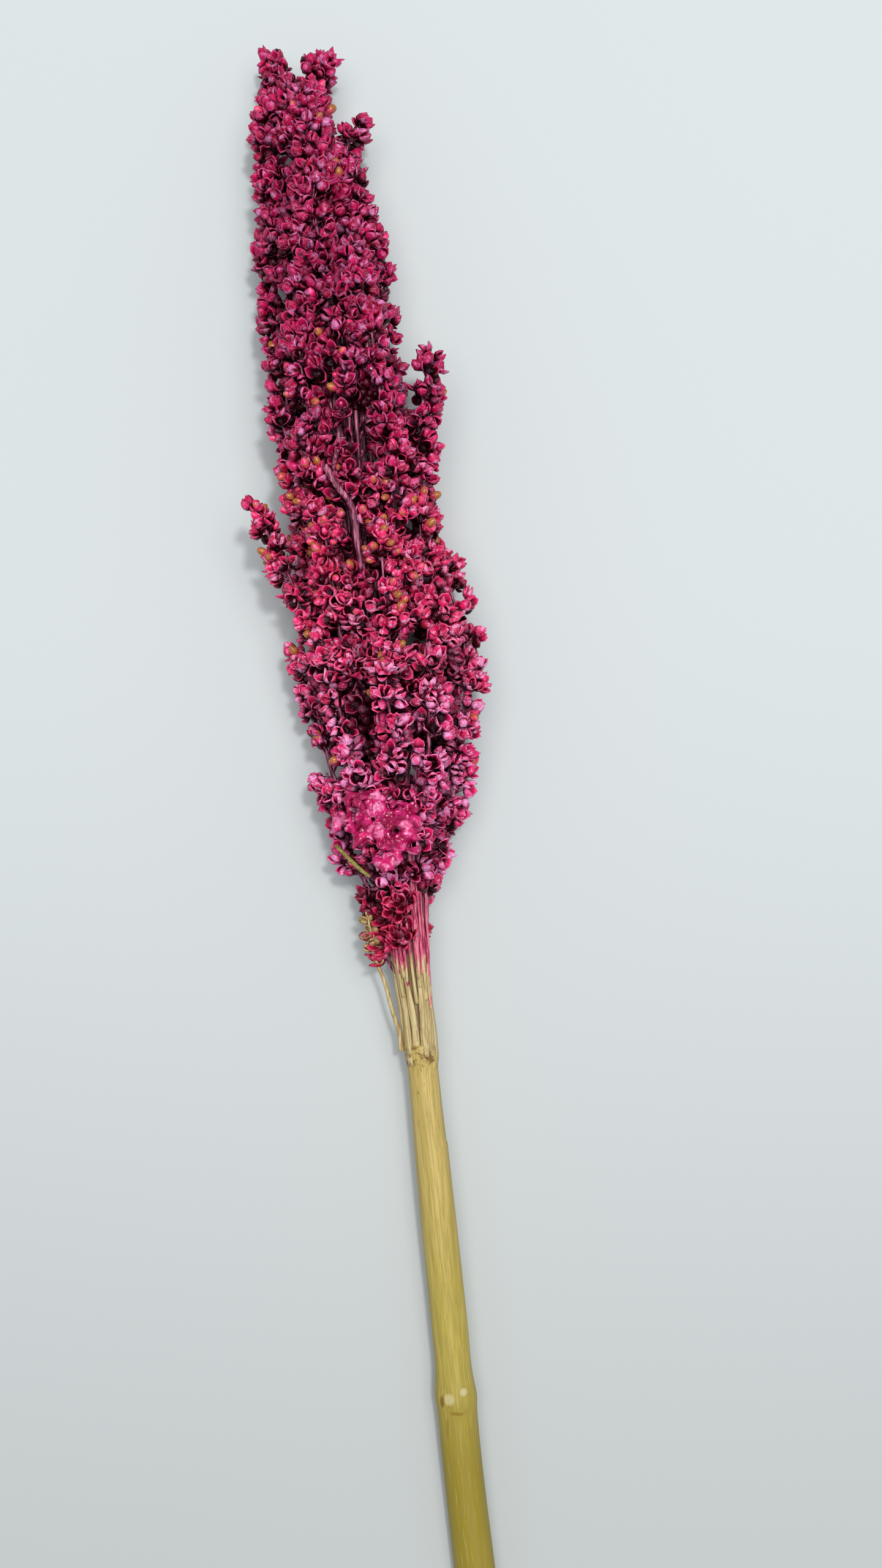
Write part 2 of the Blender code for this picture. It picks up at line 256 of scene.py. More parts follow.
def glume(width, length, closed, lean, flare, spread=98):
    """A boat-shaped husk, its back to +Y and its pointed tip up: a side of a shut bud, or of an open cup."""
    n = len(GLUME_COLUMNS)
    points, form = [], []
    for layer in (0, 1):
        for u in GLUME_ROWS:
            shut = math.sin(math.pi * u**0.85) ** 0.8 if 0 < u < 1 else 0.0
            agape = math.sin(math.pi / 2 * min(1.0, u / 0.6)) ** 0.9
            radius = width / 2 * (closed * shut + (1 - closed) * agape * (1 + flare * u * u))
            around = math.radians(spread) * (closed * (1 - 0.3 * u**4) + (1 - closed) * (1 - u**2.4))
            for v in GLUME_COLUMNS:
                if u in (0.0, 1.0) and v != 0.0:
                    continue
                r = max(0.0, radius - layer * GLUME_THICKNESS * (0.55 + 0.45 * (1 - abs(v))))
                a = v * around * (1 - 0.05 * layer)
                y = r * math.cos(a) * (1 + 0.16 * (1 - abs(v)))
                z = length * (u - 0.045 * layer * u)
                points.append((
                    r * math.sin(a),
                    y * math.cos(lean) + z * math.sin(lean),
                    z * math.cos(lean) - y * math.sin(lean),
                ))
                rim = 0.3 if u == 0.0 else 1.0 if abs(v) == 1.0 or u == 1.0 else 0.1 * (v == 0.0)
                form.append((max(rim, 0.4 * (u > 0.7)), float(layer), u, 0.5 + 0.5 * v))
    per_layer = 2 + n * (len(GLUME_ROWS) - 2)

    def at(layer, row, c):
        first = layer * per_layer
        if row == 0:
            return first
        if row == len(GLUME_ROWS) - 1:
            return first + per_layer - 1
        return first + 1 + (row - 1) * n + c

    triangles = []
    for row in range(len(GLUME_ROWS) - 1):
        for c in range(n - 1):
            for layer in (0, 1):
                quad = [at(layer, row + i, c + j) for i, j in ((0, 0), (0, 1), (1, 1), (1, 0))]
                triangles += split_quad(quad if layer else quad[::-1])
        for c, flip in ((0, False), (n - 1, True)):
            quad = [at(layer, row + i, c) for layer, i in ((0, 0), (1, 0), (1, 1), (0, 1))]
            triangles += split_quad(quad[::-1] if flip else quad)
    return np.array(points), np.array(triangles), np.array(form)


def ovoid(sides, rings, across, length, sharp=1.0):
    """A closed egg shape along +Z from the origin, pointed where sharp is over 1."""
    points, form = [(0, 0, 0)], [(0.2, 0, 0, 0.5)]
    for i in range(1, rings):
        u = i / rings
        r = across / 2 * math.sin(math.pi * u) ** (1 / sharp if u < 0.5 else sharp)
        for k in range(sides):
            a = 2 * math.pi * (k + 0.5 * (i % 2)) / sides
            points.append((r * math.cos(a), r * math.sin(a), length * (0.5 - 0.5 * math.cos(math.pi * u))))
            form.append((0.1 if k % 2 else 0.45, 0, u, k / sides))
    points.append((0, 0, length))
    form.append((0.8, 0, 1, 0.5))
    triangles = []
    for k in range(sides):
        j = (k + 1) % sides
        triangles.append((0, 1 + j, 1 + k))
        last = 1 + (rings - 2) * sides
        triangles.append((last + k, last + j, len(points) - 1))
        for i in range(rings - 2):
            a, b = 1 + i * sides, 1 + (i + 1) * sides
            triangles += split_quad((a + k, a + j, b + j, b + k))
    return np.array(points, float), np.array(triangles), np.array(form, float)


def between_rings(rings, sides):
    """The triangles that join rings of points, each ring to the next."""
    triangles = []
    for j in range(rings - 1):
        for k in range(sides):
            a, b = j * sides + k, j * sides + (k + 1) % sides
            triangles += [(a, b + sides, b), (a, a + sides, b + sides)]
    return triangles


def tube(path, radii, sides, flatten=1.0, up=(0, 0, 1), ends=True):
    """A tube along points. flatten is its thickness along up against its width."""
    path = np.asarray(path, float)
    along = unit(np.gradient(path, axis=0))
    across = unit(np.cross(along, np.asarray(up, float)))
    lift = np.cross(across, along)
    radii = np.broadcast_to(radii, len(path))
    a = 2 * np.pi * np.arange(sides) / sides
    ring = across[:, None] * np.cos(a)[None, :, None] + flatten * lift[:, None] * np.sin(a)[None, :, None]
    points = list((path[:, None] + radii[:, None, None] * ring).reshape(-1, 3))
    form = [(0.0, 0.0, j / (len(path) - 1), k / sides) for j in range(len(path)) for k in range(sides)]
    triangles = between_rings(len(path), sides)
    if ends:
        for j, flip in ((0, False), (len(path) - 1, True)):
            points.append(path[j])
            form.append((0.0, 0.0, float(flip), 0.5))
            for k in range(sides):
                a, b = j * sides + k, j * sides + (k + 1) % sides
                triangles.append((b, a, len(points) - 1) if flip else (a, b, len(points) - 1))
    return np.array(points), np.array(triangles), np.array(form)


def joined(parts):
    """Shapes put together, as points, triangles, forms and each triangle's material number."""
    points, triangles, forms, slots, first = [], [], [], [], 0
    for (p, t, f), slot in parts:
        points.append(p)
        triangles.append(t + first)
        forms.append(f)
        slots.append(np.full(len(t), slot))
        first += len(p)
    return np.concatenate(points), np.concatenate(triangles), np.concatenate(forms), np.concatenate(slots)


def turned(shape, degrees, shift=(0, 0, 0)):
    """The shape turned about Z and moved."""
    p, t, f = shape
    a = math.radians(degrees)
    turn = np.array([[math.cos(a), -math.sin(a), 0], [math.sin(a), math.cos(a), 0], [0, 0, 1]])
    return p @ turn.T + np.array(shift), t, f


# Spikelets

GLUMES, SEEDS, GLOSSY, AXES = range(4)  # material numbers on a whorl


def cup(rng):
    """An empty spikelet of two or three husks that gape."""
    wide, long = rng.uniform(3.6, 4.3), rng.uniform(3.6, 4.5)
    parts = []
    husks = rng.choice((2, 3, 3))
    gape = rng.choice((0.0, 0.1, 0.35))
    for k in range(husks):
        closed = gape + rng.uniform(0.0, 0.15)
        husk = glume(
            wide * rng.uniform(0.9, 1.05), long * rng.uniform(0.8, 1.0), closed, rng.uniform(0.05, 0.4),
            rng.uniform(-0.2, 0.3), 100 if husks == 2 else 72,
        )
        parts.append((turned(husk, 360 * k / husks + rng.uniform(-14, 14)), GLUMES))
    return joined(parts)


def flower(rng):
    """An old open spikelet whose narrow husks stand round it like the points of a star."""
    count = rng.choice((5, 6))
    parts = []
    for k in range(count):
        a = 360 * k / count + rng.uniform(-8, 8)
        husk = glume(2.3, rng.uniform(3.4, 4.4), 0.45, rng.uniform(0.25, 0.5), 0.1, 70)
        shift = (-0.7 * math.sin(math.radians(a)), 0.7 * math.cos(math.radians(a)), 0)
        parts.append((turned(husk, a, shift), GLUMES))
    return joined(parts)


def bud(rng):
    """A closed spikelet: two husks meeting in a point."""
    wide, long = rng.uniform(2.8, 3.5), rng.uniform(3.9, 4.8)
    closed = rng.uniform(0.7, 0.95)
    return joined([
        (glume(wide, long, closed, rng.uniform(0.0, 0.1), 0.2), GLUMES),
        (turned(glume(wide * 0.92, long * 0.95, closed, rng.uniform(0.0, 0.14), 0.2), 180), GLUMES),
    ])


def seeded(rng, slot):
    """A spikelet with a round seed held between its short husks."""
    wide, long = rng.uniform(3.2, 3.7), rng.uniform(3.0, 3.6)
    across = rng.uniform(2.0, 2.5)
    closed = rng.uniform(0.2, 0.5)
    seed = turned(ovoid(8, 6, across, across * 1.55, 0.9), 0, (0, 0, rng.uniform(0.6, 1.1)))
    return joined([
        (glume(wide, long, closed, rng.uniform(0.1, 0.3), 0.0), GLUMES),
        (turned(glume(wide, long * 0.9, closed, rng.uniform(0.1, 0.3), 0.0), 180), GLUMES),
        (seed, slot),
    ])


def make_forms():
    """A few variants of each kind of spikelet, which are then placed by the thousand."""
    rng = random.Random(SEED + 2)
    return {
        "cup": [cup(rng) for _ in range(18)],
        "flower": [flower(rng) for _ in range(5)],
        "bud": [bud(rng) for _ in range(8)],
        "ochre": [seeded(rng, SEEDS) for _ in range(6)],
        "glossy": [seeded(rng, GLOSSY) for _ in range(4)],
        "sterile": [joined([(ovoid(4, 3, rng.uniform(0.9, 1.3), rng.uniform(3.4, 4.6), 1.5), GLUMES)])
                    for _ in range(4)],
        "hidden": [joined([(ovoid(5, 3, 3.0, 4.0, 1.2), GLUMES)])],
    }


# Mesh building

LOWEST = 0.05  # mm above the surface, where the underside is pressed flat


class Piece:
    """Points and triangles gathered for one mesh, in millimetres, and what its materials read at each."""

    def __init__(self, name):
        self.name = name
        self.points, self.triangles, self.forms, self.chances, self.slots = [], [], [], [], []
        self.count = 0

    def add(self, points, triangles, forms, slots, chance=(0.5, 0.5, 0.5, 1.0)):
        self.points.append(points)
        self.triangles.append(triangles + self.count)
        self.forms.append(forms)
        self.chances.append(np.broadcast_to(chance, (len(points), 4)))
        self.slots.append(slots)
        self.count += len(points)

    def add_shape(self, shape, slot=0, chance=(0.5, 0.5, 0.5, 1.0)):
        points, triangles, forms = shape
        self.add(points, triangles, forms, np.full(len(triangles), slot), chance)

    def build(self, materials, slot, *nodes):
        points = np.concatenate(self.points) - CENTRE
        points[:, 2] = np.maximum(points[:, 2], LOWEST)
        triangles = np.concatenate(self.triangles)
        mesh = bpy.data.meshes.new(self.name)
        mesh.vertices.add(len(points))
        mesh.vertices.foreach_set("co", (points * MM).astype(np.float32).ravel())
        mesh.loops.add(3 * len(triangles))
        mesh.loops.foreach_set("vertex_index", triangles.astype(np.int32).ravel())
        mesh.polygons.add(len(triangles))
        mesh.polygons.foreach_set("loop_start", np.arange(0, 3 * len(triangles), 3, dtype=np.int32))
        mesh.polygons.foreach_set("material_index", np.concatenate(self.slots).astype(np.int32))
        mesh.update(calc_edges=True)
        for name, values in (("form", self.forms), ("chance", self.chances)):
            layer = mesh.attributes.new(name, "FLOAT_COLOR", "POINT")
            layer.data.foreach_set("color", np.concatenate(values).astype(np.float32).ravel())
        mesh.shade_smooth()
        for material in materials:
            mesh.materials.append(material)
        made = bpy.data.objects.new(self.name, mesh)
        bpy.context.scene.collection.objects.link(made)
        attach(made, "root")
        if nodes:
            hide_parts(*nodes)
        return made


# Spikelets on the branches

RACEME_PITCH = 7.4  # between the little side sprays along a branch
RACEME_SPACING = 8.0  # and round it
BACK = math.radians(125)  # a branch inside the head has none beyond this, on the side of the axis
OUTERMOST = 1.7  # how far the spikelets' tips stand beyond the club's radius
SPIKELET_LENGTH = 4.0
TIP_LEAN = 0.7  # keeps the sprays at a branch's tip short
MISSING = 0.10  # share of the little sprays that have broken off
SIZES = (1.02, 1.28)  # of spikelets, against their forms
SHADED, LIT = 0.48, 0.92  # shares of a spray's length, between which painted shade at the spray's base gives way to full colour
DEEP = 0.34  # share of the head's reach below which a spikelet can't be seen and is left out
HIDDEN = 0.68  # and below which it is a plain bud
DEPTH_SHADE_FROM, DEPTH_SHADE_TO = 0.64, 0.92  # shares of the reach, between which painted shade deep in the head gives way to full colour
GAP = 0.2
STALK_RADIUS = 0.36
STERILE = 0.35  # share of the spikelets that have a narrow sterile one beside them
TIP_SHARE = 0.8  # of a spikelet's length, that has to clear the other branches
OCHRE_MIDDLE, OCHRE_SPREAD, OCHRE_RIGHT = 92.0, 26.0, 9.0
FLOWERS_TOP = -24.0  # below this old open spikelets are commonest
FLOWERS, GLOSSY_SEEDS, CUPS = 0.3, 0.01, 0.50  # shares of the spikelets
BARE_STRANDS_TOP = -21.0  # below this the right side of the lowest whorl is bare
BARE_STRANDS_SIDE = (-1.5, 0.0, -4.0)  # that side's start, from the middle line
OPEN_SPOTS = (
    (545, 1262, 4.6), (522, 1242, 4.2), (505, 1226, 4.0), (520, 1334, 4.4), (576, 1446, 3.6),
    (596, 1443, 2.6), (472, 1028, 3.4), (673, 1262, 3.4), (748, 975, 3.2), (464, 260, 3.0), (670, 858, 3.4),
    (456, 548, 2.8), (600, 566, 2.6), (672, 612, 3.2), (674, 642, 3.0), (672, 668, 2.4), (476, 934, 2.8),
    (772, 1352, 4.0), (760, 1395, 4.0), (748, 1432, 4.0), (430, 52, 3.4), (481, 90, 2.2), (708, 552, 4.6),
    (462, 480, 2.6), (499, 1056, 2.4), (487, 1045, 2.2), (521, 1000, 1.9), (478, 262, 1.8),
    (664, 1245, 2.2), (676, 1284, 2.2),
)  # gaps right through the head: the photograph's points, and a radius in millimetres


def clear_share(centre, point, own, others):
    """How far out from the branch's middle each point may sit without entering another branch's room."""
    share = np.full(len(point), 0.25)
    waiting = np.arange(len(point))
    for s in np.linspace(1, 0.3, 8):
        moved = centre[waiting] + (point[waiting] - centre[waiting]) * s
        clear = nearness(moved, *others) - nearness(moved, *own) > GAP
        share[waiting[clear]] = s
        waiting = waiting[~clear]
        if not len(waiting):
            break
    return share


def paths_meet(a, b, within=24.0):
    """Whether two branches come close enough to crowd each other."""
    low = np.maximum(a["points"].min(0), b["points"].min(0)) - within
    high = np.minimum(a["points"].max(0), b["points"].max(0)) + within
    return bool((low < high).all())


def raceme_places(branch, rng):
    """Place along the branch, direction round it, lean and size of each little side spray."""
    rows = round(branch["length"] / RACEME_PITCH)
    plump = rng.uniform(0.9, 1.12)
    places = []
    for i in range(rows + 1):
        t = min(1.0, (i + 0.15) / rows)
        n = max(3, round(2 * math.pi * (CLUB_RADIUS * float(club_shape(t)) + 1.5) / RACEME_SPACING))
        for k in range(n):
            angle = 2 * math.pi * (k + 0.5 * (i % 2) + rng.uniform(-0.22, 0.22)) / n
            angle = (angle + math.pi) % (2 * math.pi) - math.pi
            if rng.random() < MISSING or abs(angle) > BACK and not branch["stray"]:
                continue
            lean = math.radians(rng.uniform(28, 52)) + max(0.0, t - 0.85) * 4
            size = plump * rng.uniform(0.9, 1.08)
            places.append((min(1.0, max(0.0, t + rng.uniform(-0.35, 0.35) / rows)), angle, lean, size))
    return np.array(places).T


def raceme(rng, root, heading, long):
    """For each spikelet of a side spray: the spray's root, its own seat and direction, the spray's length."""
    first = unit(np.cross(heading, (0.3, 0.2, 1.0)))
    second = np.cross(heading, first)
    turn = rng.uniform(0, 2 * math.pi)
    at = long - SPIKELET_LENGTH
    made = [(root, root + heading * at, heading, long)]
    for _ in range(rng.choice((3, 4, 4))):
        turn += 2.2 + rng.uniform(-0.3, 0.3)
        at -= rng.uniform(0.5, 1.1)
        if at < 0.5:
            break
        aside = first * math.cos(turn) + second * math.sin(turn)
        own_way = unit(heading * 0.66 + aside * rng.uniform(0.6, 0.85))
        made.append((root, root + heading * at + aside * 0.9, own_way, long))
    return made


def in_open_spot(point):
    """Whether the photograph shows a gap where this point is."""
    nearer = (CAMERA_HEIGHT - point[2]) / (CAMERA_HEIGHT - MIDDLE_HEIGHT)
    at = CAMERA_AT + (point[:2] / PHOTO_MM_PER_PIXEL - CAMERA_AT) / nearer
    px, py = PHOTO_ORIGIN[0] + at[0], PHOTO_ORIGIN[1] - at[1]
    return any(math.hypot(px - x, py - y) * PHOTO_MM_PER_PIXEL < radius for x, y, radius in OPEN_SPOTS)


def claimed(branches):
    """The room that branches claim, as points and a radius at each."""
    return (
        np.concatenate([b["points"][::3] for b in branches]),
        np.concatenate([wanted_radius(b)[::3] for b in branches]),
    )


def depth_of(seat, direction):
    """How far out each spikelet's tip is, as a share of the head's reach."""
    tip = seat + direction * SPIKELET_LENGTH
    from_middle = tip - middle(tip[:, 1])
    degrees = np.degrees(np.arctan2(from_middle[:, 2], from_middle[:, 0]))
    return np.linalg.norm(from_middle, axis=1) / reach(tip[:, 1], degrees)


def seats(branch, rng, branches):
    """For each spikelet of a branch: its spray's root, its seat and direction, the spray's length, and how
    much of that there is room for."""
    t, angle, lean, size = raceme_places(branch, rng)
    centre, along, away, side = frames_at(branch, t)
    ray = away * np.cos(angle)[:, None] + side * np.sin(angle)[:, None]
    heading = unit(ray * np.cos(lean)[:, None] + along * np.sin(lean)[:, None])
    full = (CLUB_RADIUS * club_shape(t) + OUTERMOST) / np.maximum(np.cos(lean), TIP_LEAN) * size
    made = [one for c, d, long in zip(centre, heading, full) for one in raceme(rng, c, d, long)]
    centre, seat, direction, long = (np.array(values) for values in zip(*made))
    share = clear_share(
        centre, seat + direction * (SPIKELET_LENGTH * TIP_SHARE), claimed([branch]),
        claimed([b for b in branches if b is not branch and paths_meet(branch, b)]),
    )
    return centre, centre + (seat - centre) * share[:, None], direction, long * share, share


def kind_of(rng, root, seat, depth):
    """The kind of spikelet at a place: seeds still held come in groups, mostly in the middle of the head."""
    grouped = math.sin(root[0] * 0.8 + 0.5) * math.sin(root[1] * 0.5)
    ochre = 0.03 + 0.40 * math.exp(-(((seat[1] - OCHRE_MIDDLE) / OCHRE_SPREAD) ** 2))
    ochre *= (1.6 if grouped > 0 else 0.3) * (1.0 if seat[0] < OCHRE_RIGHT else 0.4)
    draw = rng.random()
    if depth < HIDDEN:
        return "hidden"
    if seat[1] < FLOWERS_TOP and draw < FLOWERS:
        return "flower"
    for kind, share in (("ochre", ochre), ("glossy", GLOSSY_SEEDS), ("cup", CUPS)):
        if draw < share:
            return kind
        draw -= share
    return "bud"


def placed(shape, seat, direction, roll, size):
    """A small shape's points, stood on a seat along a direction."""
    ahead = np.array([0.0, 1.0, 0.0]) if abs(direction[1]) < 0.9 else np.array([0.0, 0.0, 1.0])
    x = unit(np.cross(ahead, direction))
    y = np.cross(direction, x)
    turn = math.cos(roll) * x + math.sin(roll) * y, math.cos(roll) * y - math.sin(roll) * x, direction
    return seat + (shape[0] * size) @ np.array(turn)


def add_spikelet(piece, rng, forms, kind, root, seat, direction, long, depth, bigger=1.0):
    """Adds a spikelet, its stalk and, beside some, a narrow sterile one."""
    centre = seat + direction * SPIKELET_LENGTH / 2
    if in_open_spot(centre) or centre[2] > OPENING_FLOOR and in_opening(centre[None])[0]:
        return
    # painted shade: spikelets deep in the head are coloured darker, as the shade that falls there
    unshaded = min(1.0, max(0.0, (depth - DEPTH_SHADE_FROM) / (DEPTH_SHADE_TO - DEPTH_SHADE_FROM)))
    chance = (rng.random(), rng.random(), 0.3, unshaded)
    size = rng.uniform(*SIZES) * bigger
    bend = (root + seat) / 2 + direction * 0.2
    piece.add_shape(tube((root, bend, seat + direction * 0.4), STALK_RADIUS, 3, ends=False), AXES, chance)
    standing = [(rng.choice(forms[kind]), seat, direction)]
    if depth > HIDDEN and rng.random() < STERILE:
        aside = unit(direction + unit(random_of(rng, *3 * [(-1, 1)])) * 0.7)
        standing.append((rng.choice(forms["sterile"]), seat + direction * 0.3, aside))
    for shape, at, way in standing:
        points = placed(shape, at, way, rng.uniform(0, 2 * math.pi), size)
        out = np.linalg.norm(points - root, axis=1) / max(long, SPIKELET_LENGTH)
        own = np.tile(chance, (len(points), 1))
        # painted shade: the lower part of each little spray is coloured darker, as shade near its root
        own[:, 2] = np.clip((out - SHADED) / (LIT - SHADED), 0, 1)
        piece.add(points, *shape[1:], chance=own)


def dress_branch(piece, branch, rng, branches, forms):
    """Adds one branch's axis and spikelets to its whorl's piece."""
    points = branch["points"][::3]
    thick = np.interp(np.linspace(0, 1, len(points)), [0, 0.5, 1], [0.95, 0.75, 0.4])
    piece.add_shape(tube(points, thick, 6), AXES, (rng.random(), rng.random(), 0.5, 1.0))
    roots, places, directions, lengths, shares = seats(branch, rng, branches)
    depths = depth_of(places, directions)
    for root, seat, direction, long, share, depth in zip(roots, places, directions, lengths, shares, depths):
        if depth < DEEP or share < 0.45 and rng.random() < 0.6:
            continue
        if seat[1] < BARE_STRANDS_TOP:
            beyond = seat > middle(seat[1]) + BARE_STRANDS_SIDE
            if beyond[0] and beyond[2]:
                continue
        add_spikelet(piece, rng, forms, kind_of(rng, root, seat, depth), root, seat, direction, long, depth)


# Short sprays on the axis itself, which fill the parting and the head's tip

INNER_SPRAYS = ((44, 188, 52, 130), (188, 240, -40, 220))  # from and to along the head, and round it
INNER_PITCH = 6.0
INNER_TURN = 19.0
INNER_LENGTH = 9.0
INNER_ROOM = 1.0
INNER_AXIS = 0.45
LOW_FLOWERS = 15  # old open spikelets on the left of the bare feet
LOW_FLOWERS_ROUND = (85, 230)
LOW_FLOWERS_ALONG = (-45, -24)
LOW_FLOWERS_LOOK = (8.0, 0.9, 1.45)  # their sprays' length, depth in the head, and size
# Narrow openings where the dark inside shows: each one's route in the photograph, and half its width
OPENINGS = (
    (((598, 585), (592, 640), (588, 690), (584, 756)), 3.0),
    (((553, 790), (568, 822), (578, 866), (590, 935)), 2.5),
)
OPENING_FLOOR = 38.0  # spikelets over an opening are left out above this height
# More sprays that the photograph shows: the point and height of each one's tip, and the way it points
EXTRA_SPRAYS = (
    ((450, 84, 20), (-0.1, 1.0, 0.2)), ((437, 106, 20), (-0.5, 0.9, 0.2)),
    ((465, 108, 25), (0.2, 0.9, 0.5)), ((507, 88, 22), (-0.1, 1.0, 0.3)), ((527, 86, 20), (0.2, 1.0, 0.1)),
    ((540, 110, 18), (0.6, 0.7, 0.2)), ((502, 126, 26), (-0.1, 0.7, 0.6)),
    ((526, 136, 24), (0.4, 0.7, 0.5)), ((452, 144, 26), (-0.2, 0.6, 0.7)),
    ((478, 152, 29), (0.0, 0.6, 0.8)), ((508, 160, 27), (0.2, 0.6, 0.7)), ((534, 176, 20), (0.7, 0.5, 0.3)),
    ((432, 142, 20), (-0.6, 0.7, 0.2)), ((504, 1264, 24), (-0.75, 0.6, 0.1)),
    ((517, 1272, 29), (-0.5, 0.5, 0.6)), ((514, 1293, 22), (-0.8, 0.2, 0.1)),
    ((531, 1290, 31), (-0.4, 0.5, 0.7)), ((532, 1307, 24), (-0.7, 0.1, 0.3)),
    ((547, 1302, 33), (-0.3, 0.4, 0.8)), ((466, 1059, 22), (-0.7, 0.6, 0.1)),
    ((476, 1078, 28), (-0.6, 0.4, 0.5)), ((466, 958, 22), (-0.7, 0.7, 0.1)),
)


def in_opening(points):
    """Whether each point is over one of the narrow openings."""
    found = np.zeros(len(points), bool)
    for route, widest in OPENINGS:
        spots = np.array([from_photo(px, py, 40.0) for px, py in route[::-1]])
        share = np.clip((points[:, 1] - spots[0, 1]) / (spots[-1, 1] - spots[0, 1]), 0, 1)
        half = widest * np.sin(np.pi * share) ** 0.4
        found |= np.abs(points[:, 0] - np.interp(points[:, 1], spots[:, 1], spots[:, 0])) < half
    return found


def add_inner_sprays(forms, materials, branches):
    rng = random.Random(SEED + 7)
    piece = Piece("inner_sprays")
    made = []
    for low, high, first, last in INNER_SPRAYS:
        for row in np.arange(low, high, INNER_PITCH):
            for turn in np.arange(first, last, INNER_TURN):
                degrees = turn + rng.uniform(-7, 7)
                y = row + rng.uniform(-2.5, 2.5)
                outward = ray(degrees)
                far = float(reach(y, degrees)) * rng.uniform(0.84, 0.98)
                heading = unit(outward + np.array([0, rng.uniform(0.3, 0.8), 0]))
                start = middle(y) + outward * max(1.0, far - INNER_LENGTH)
                spray = raceme(rng, start, heading, INNER_LENGTH)
                tips = np.array([s + d * SPIKELET_LENGTH * TIP_SHARE for _, s, d, _ in spray])
                keep = (nearness(tips, *claimed(branches)) > INNER_ROOM) & ~in_opening(tips)
                made += [one for one, kept in zip(spray, keep) if kept]
                if keep.any():
                    foot_of_spray = middle(y - 5) + outward * 1.5
                    piece.add_shape(tube((foot_of_spray, start, start + heading * 2), INNER_AXIS, 4), AXES)
    depths = depth_of(np.array([one[1] for one in made]), np.array([one[2] for one in made]))
    for (root, seat, direction, long), depth in zip(made, depths):
        add_spikelet(piece, rng, forms, kind_of(rng, root, seat, depth), root, seat, direction, long, depth)
    for _ in range(LOW_FLOWERS):
        degrees = rng.uniform(*LOW_FLOWERS_ROUND)
        y = rng.uniform(*LOW_FLOWERS_ALONG)
        outward = ray(degrees)
        root = middle(y - 6) + outward * 5.5
        seat = middle(y) + outward * rng.uniform(6.5, 9.5)
        direction = unit(outward + random_of(rng, (-0.4, 0.4), (0.0, 0.6), (-0.3, 0.5)))
        add_spikelet(piece, rng, forms, "flower", root, seat, direction, *LOW_FLOWERS_LOOK)
    for tip, heading in EXTRA_SPRAYS:
        heading = unit(np.array(heading))
        root = from_photo(*tip) - heading * INNER_LENGTH
        axis = middle(root[1] - 6)
        piece.add_shape(tube((axis, (axis + root) / 2, root, root + heading * 2), INNER_AXIS, 4), AXES)
        for start, seat, direction, long in raceme(rng, root, heading, INNER_LENGTH):
            add_spikelet(piece, rng, forms, kind_of(rng, root, seat, 1.0), start, seat, direction, long, 1.0)
    return piece.build(materials, "painted_spikelets")


# Stem and the bare feet of the lowest branches

SKIN, PITH, FEET = range(3)  # material numbers on the stem
STEM_SIDES = 56
STEM_STEP = 1.0
JOINT_Y = -190.0
SHEATH_END = -102.0
FOOT_COUNT = 11
FEET_TOP = -9.0
CORE_RADIUS = 3.9
CUT_RINGS = ((1.0, 0.0), (0.94, 0.05), (0.88, 0.5), (0.6, 0.7), (0.3, 0.8))  # share of the radius, depth
FINE_FEET = 14


def stem_radius(y, angle):
    """Radius of the stem's skin: fine ridges, the end of the leaf sheath and the bumps of the joint."""
    r = float(column(STEM_RADIUS, 1, min(y, WHORL_RING)))
    ridges = 0.05 * math.sin(17 * angle + 0.05 * y) + 0.04 * math.sin(29 * angle + 1.3)
    r += ridges + 0.05 * math.sin(5 * angle)
    edge = SHEATH_END - 5.0 * abs(angle - 0.3)
    if y < edge:
        sheath = 0.32 * math.exp(-(((angle - 0.3) / 0.9) ** 4)) * min(1.0, (edge - y) / 1.5)
        r += sheath * math.exp((y - edge) / 90)
    near_joint = math.exp(-(((y - JOINT_Y) / 2.6) ** 2))
    r += 0.30 * near_joint * (0.4 + 0.6 * max(0.0, math.sin(3 * angle + 0.6)))
    bud_scar = math.exp(-(((angle - 1.35) / 0.34) ** 2) - ((y - JOINT_Y + 1.5) / 2.4) ** 2)
    groove = math.exp(-(((angle - 1.95) / 0.16) ** 2)) * min(1.0, max(0.0, (JOINT_Y - y) / 4))
    return r + 0.45 * bud_scar - 0.30 * groove * math.exp((y - JOINT_Y) / 30)


def stem_skin():
    """The stem from its cut end to the swollen ring, and drawn in to the core above it."""
    n = STEM_SIDES
    ys = np.append(np.arange(MIDDLE_LINE[0][1], WHORL_RING + 4.1, STEM_STEP), WHORL_RING + 4.6)
    centre = middle(ys)
    angles = [2 * math.pi * k / n - math.pi for k in range(n)]
    points, form = [], []
    for j, y in enumerate(ys):
        for a in angles:
            r = stem_radius(y, a) if y < WHORL_RING + 4.3 else CORE_RADIUS - 0.3
            points.append((centre[j][0] + r * math.cos(a), y, centre[j][2] + r * math.sin(a)))
            form.append((0.5 + 0.5 * math.cos(a), 0.5 + 0.5 * math.sin(a), j / (len(ys) - 1), 1.0))
    return np.array(points), np.array(between_rings(len(ys), n)), np.array(form)


def cut_face(rng):
    """The stem's cut end: a thin hard rim round soft pith that has shrunk a little."""
    n = STEM_SIDES
    start = MIDDLE_LINE[0]
    points, form = [], []
    for share, depth in CUT_RINGS:
        for k in range(n):
            a = 2 * math.pi * k / n - math.pi
            r = stem_radius(start[1], a) * share
            y = start[1] + depth + (rng.uniform(-0.12, 0.12) if share < 0.9 else 0.0)
            points.append((start[0] + r * math.cos(a), y, start[2] + r * math.sin(a)))
            form.append((share, 0.0, share, k / n))
    points.append((start[0], start[1] + 0.8, start[2]))
    form.append((0.0, 0.0, 0.0, 0.5))
    triangles = [t[::-1] for t in between_rings(len(CUT_RINGS), n)]
    last = n * (len(CUT_RINGS) - 1)
    triangles += [(last + k, last + (k + 1) % n, len(points) - 1) for k in range(n)]
    return np.array(points), np.array(triangles), np.array(form)


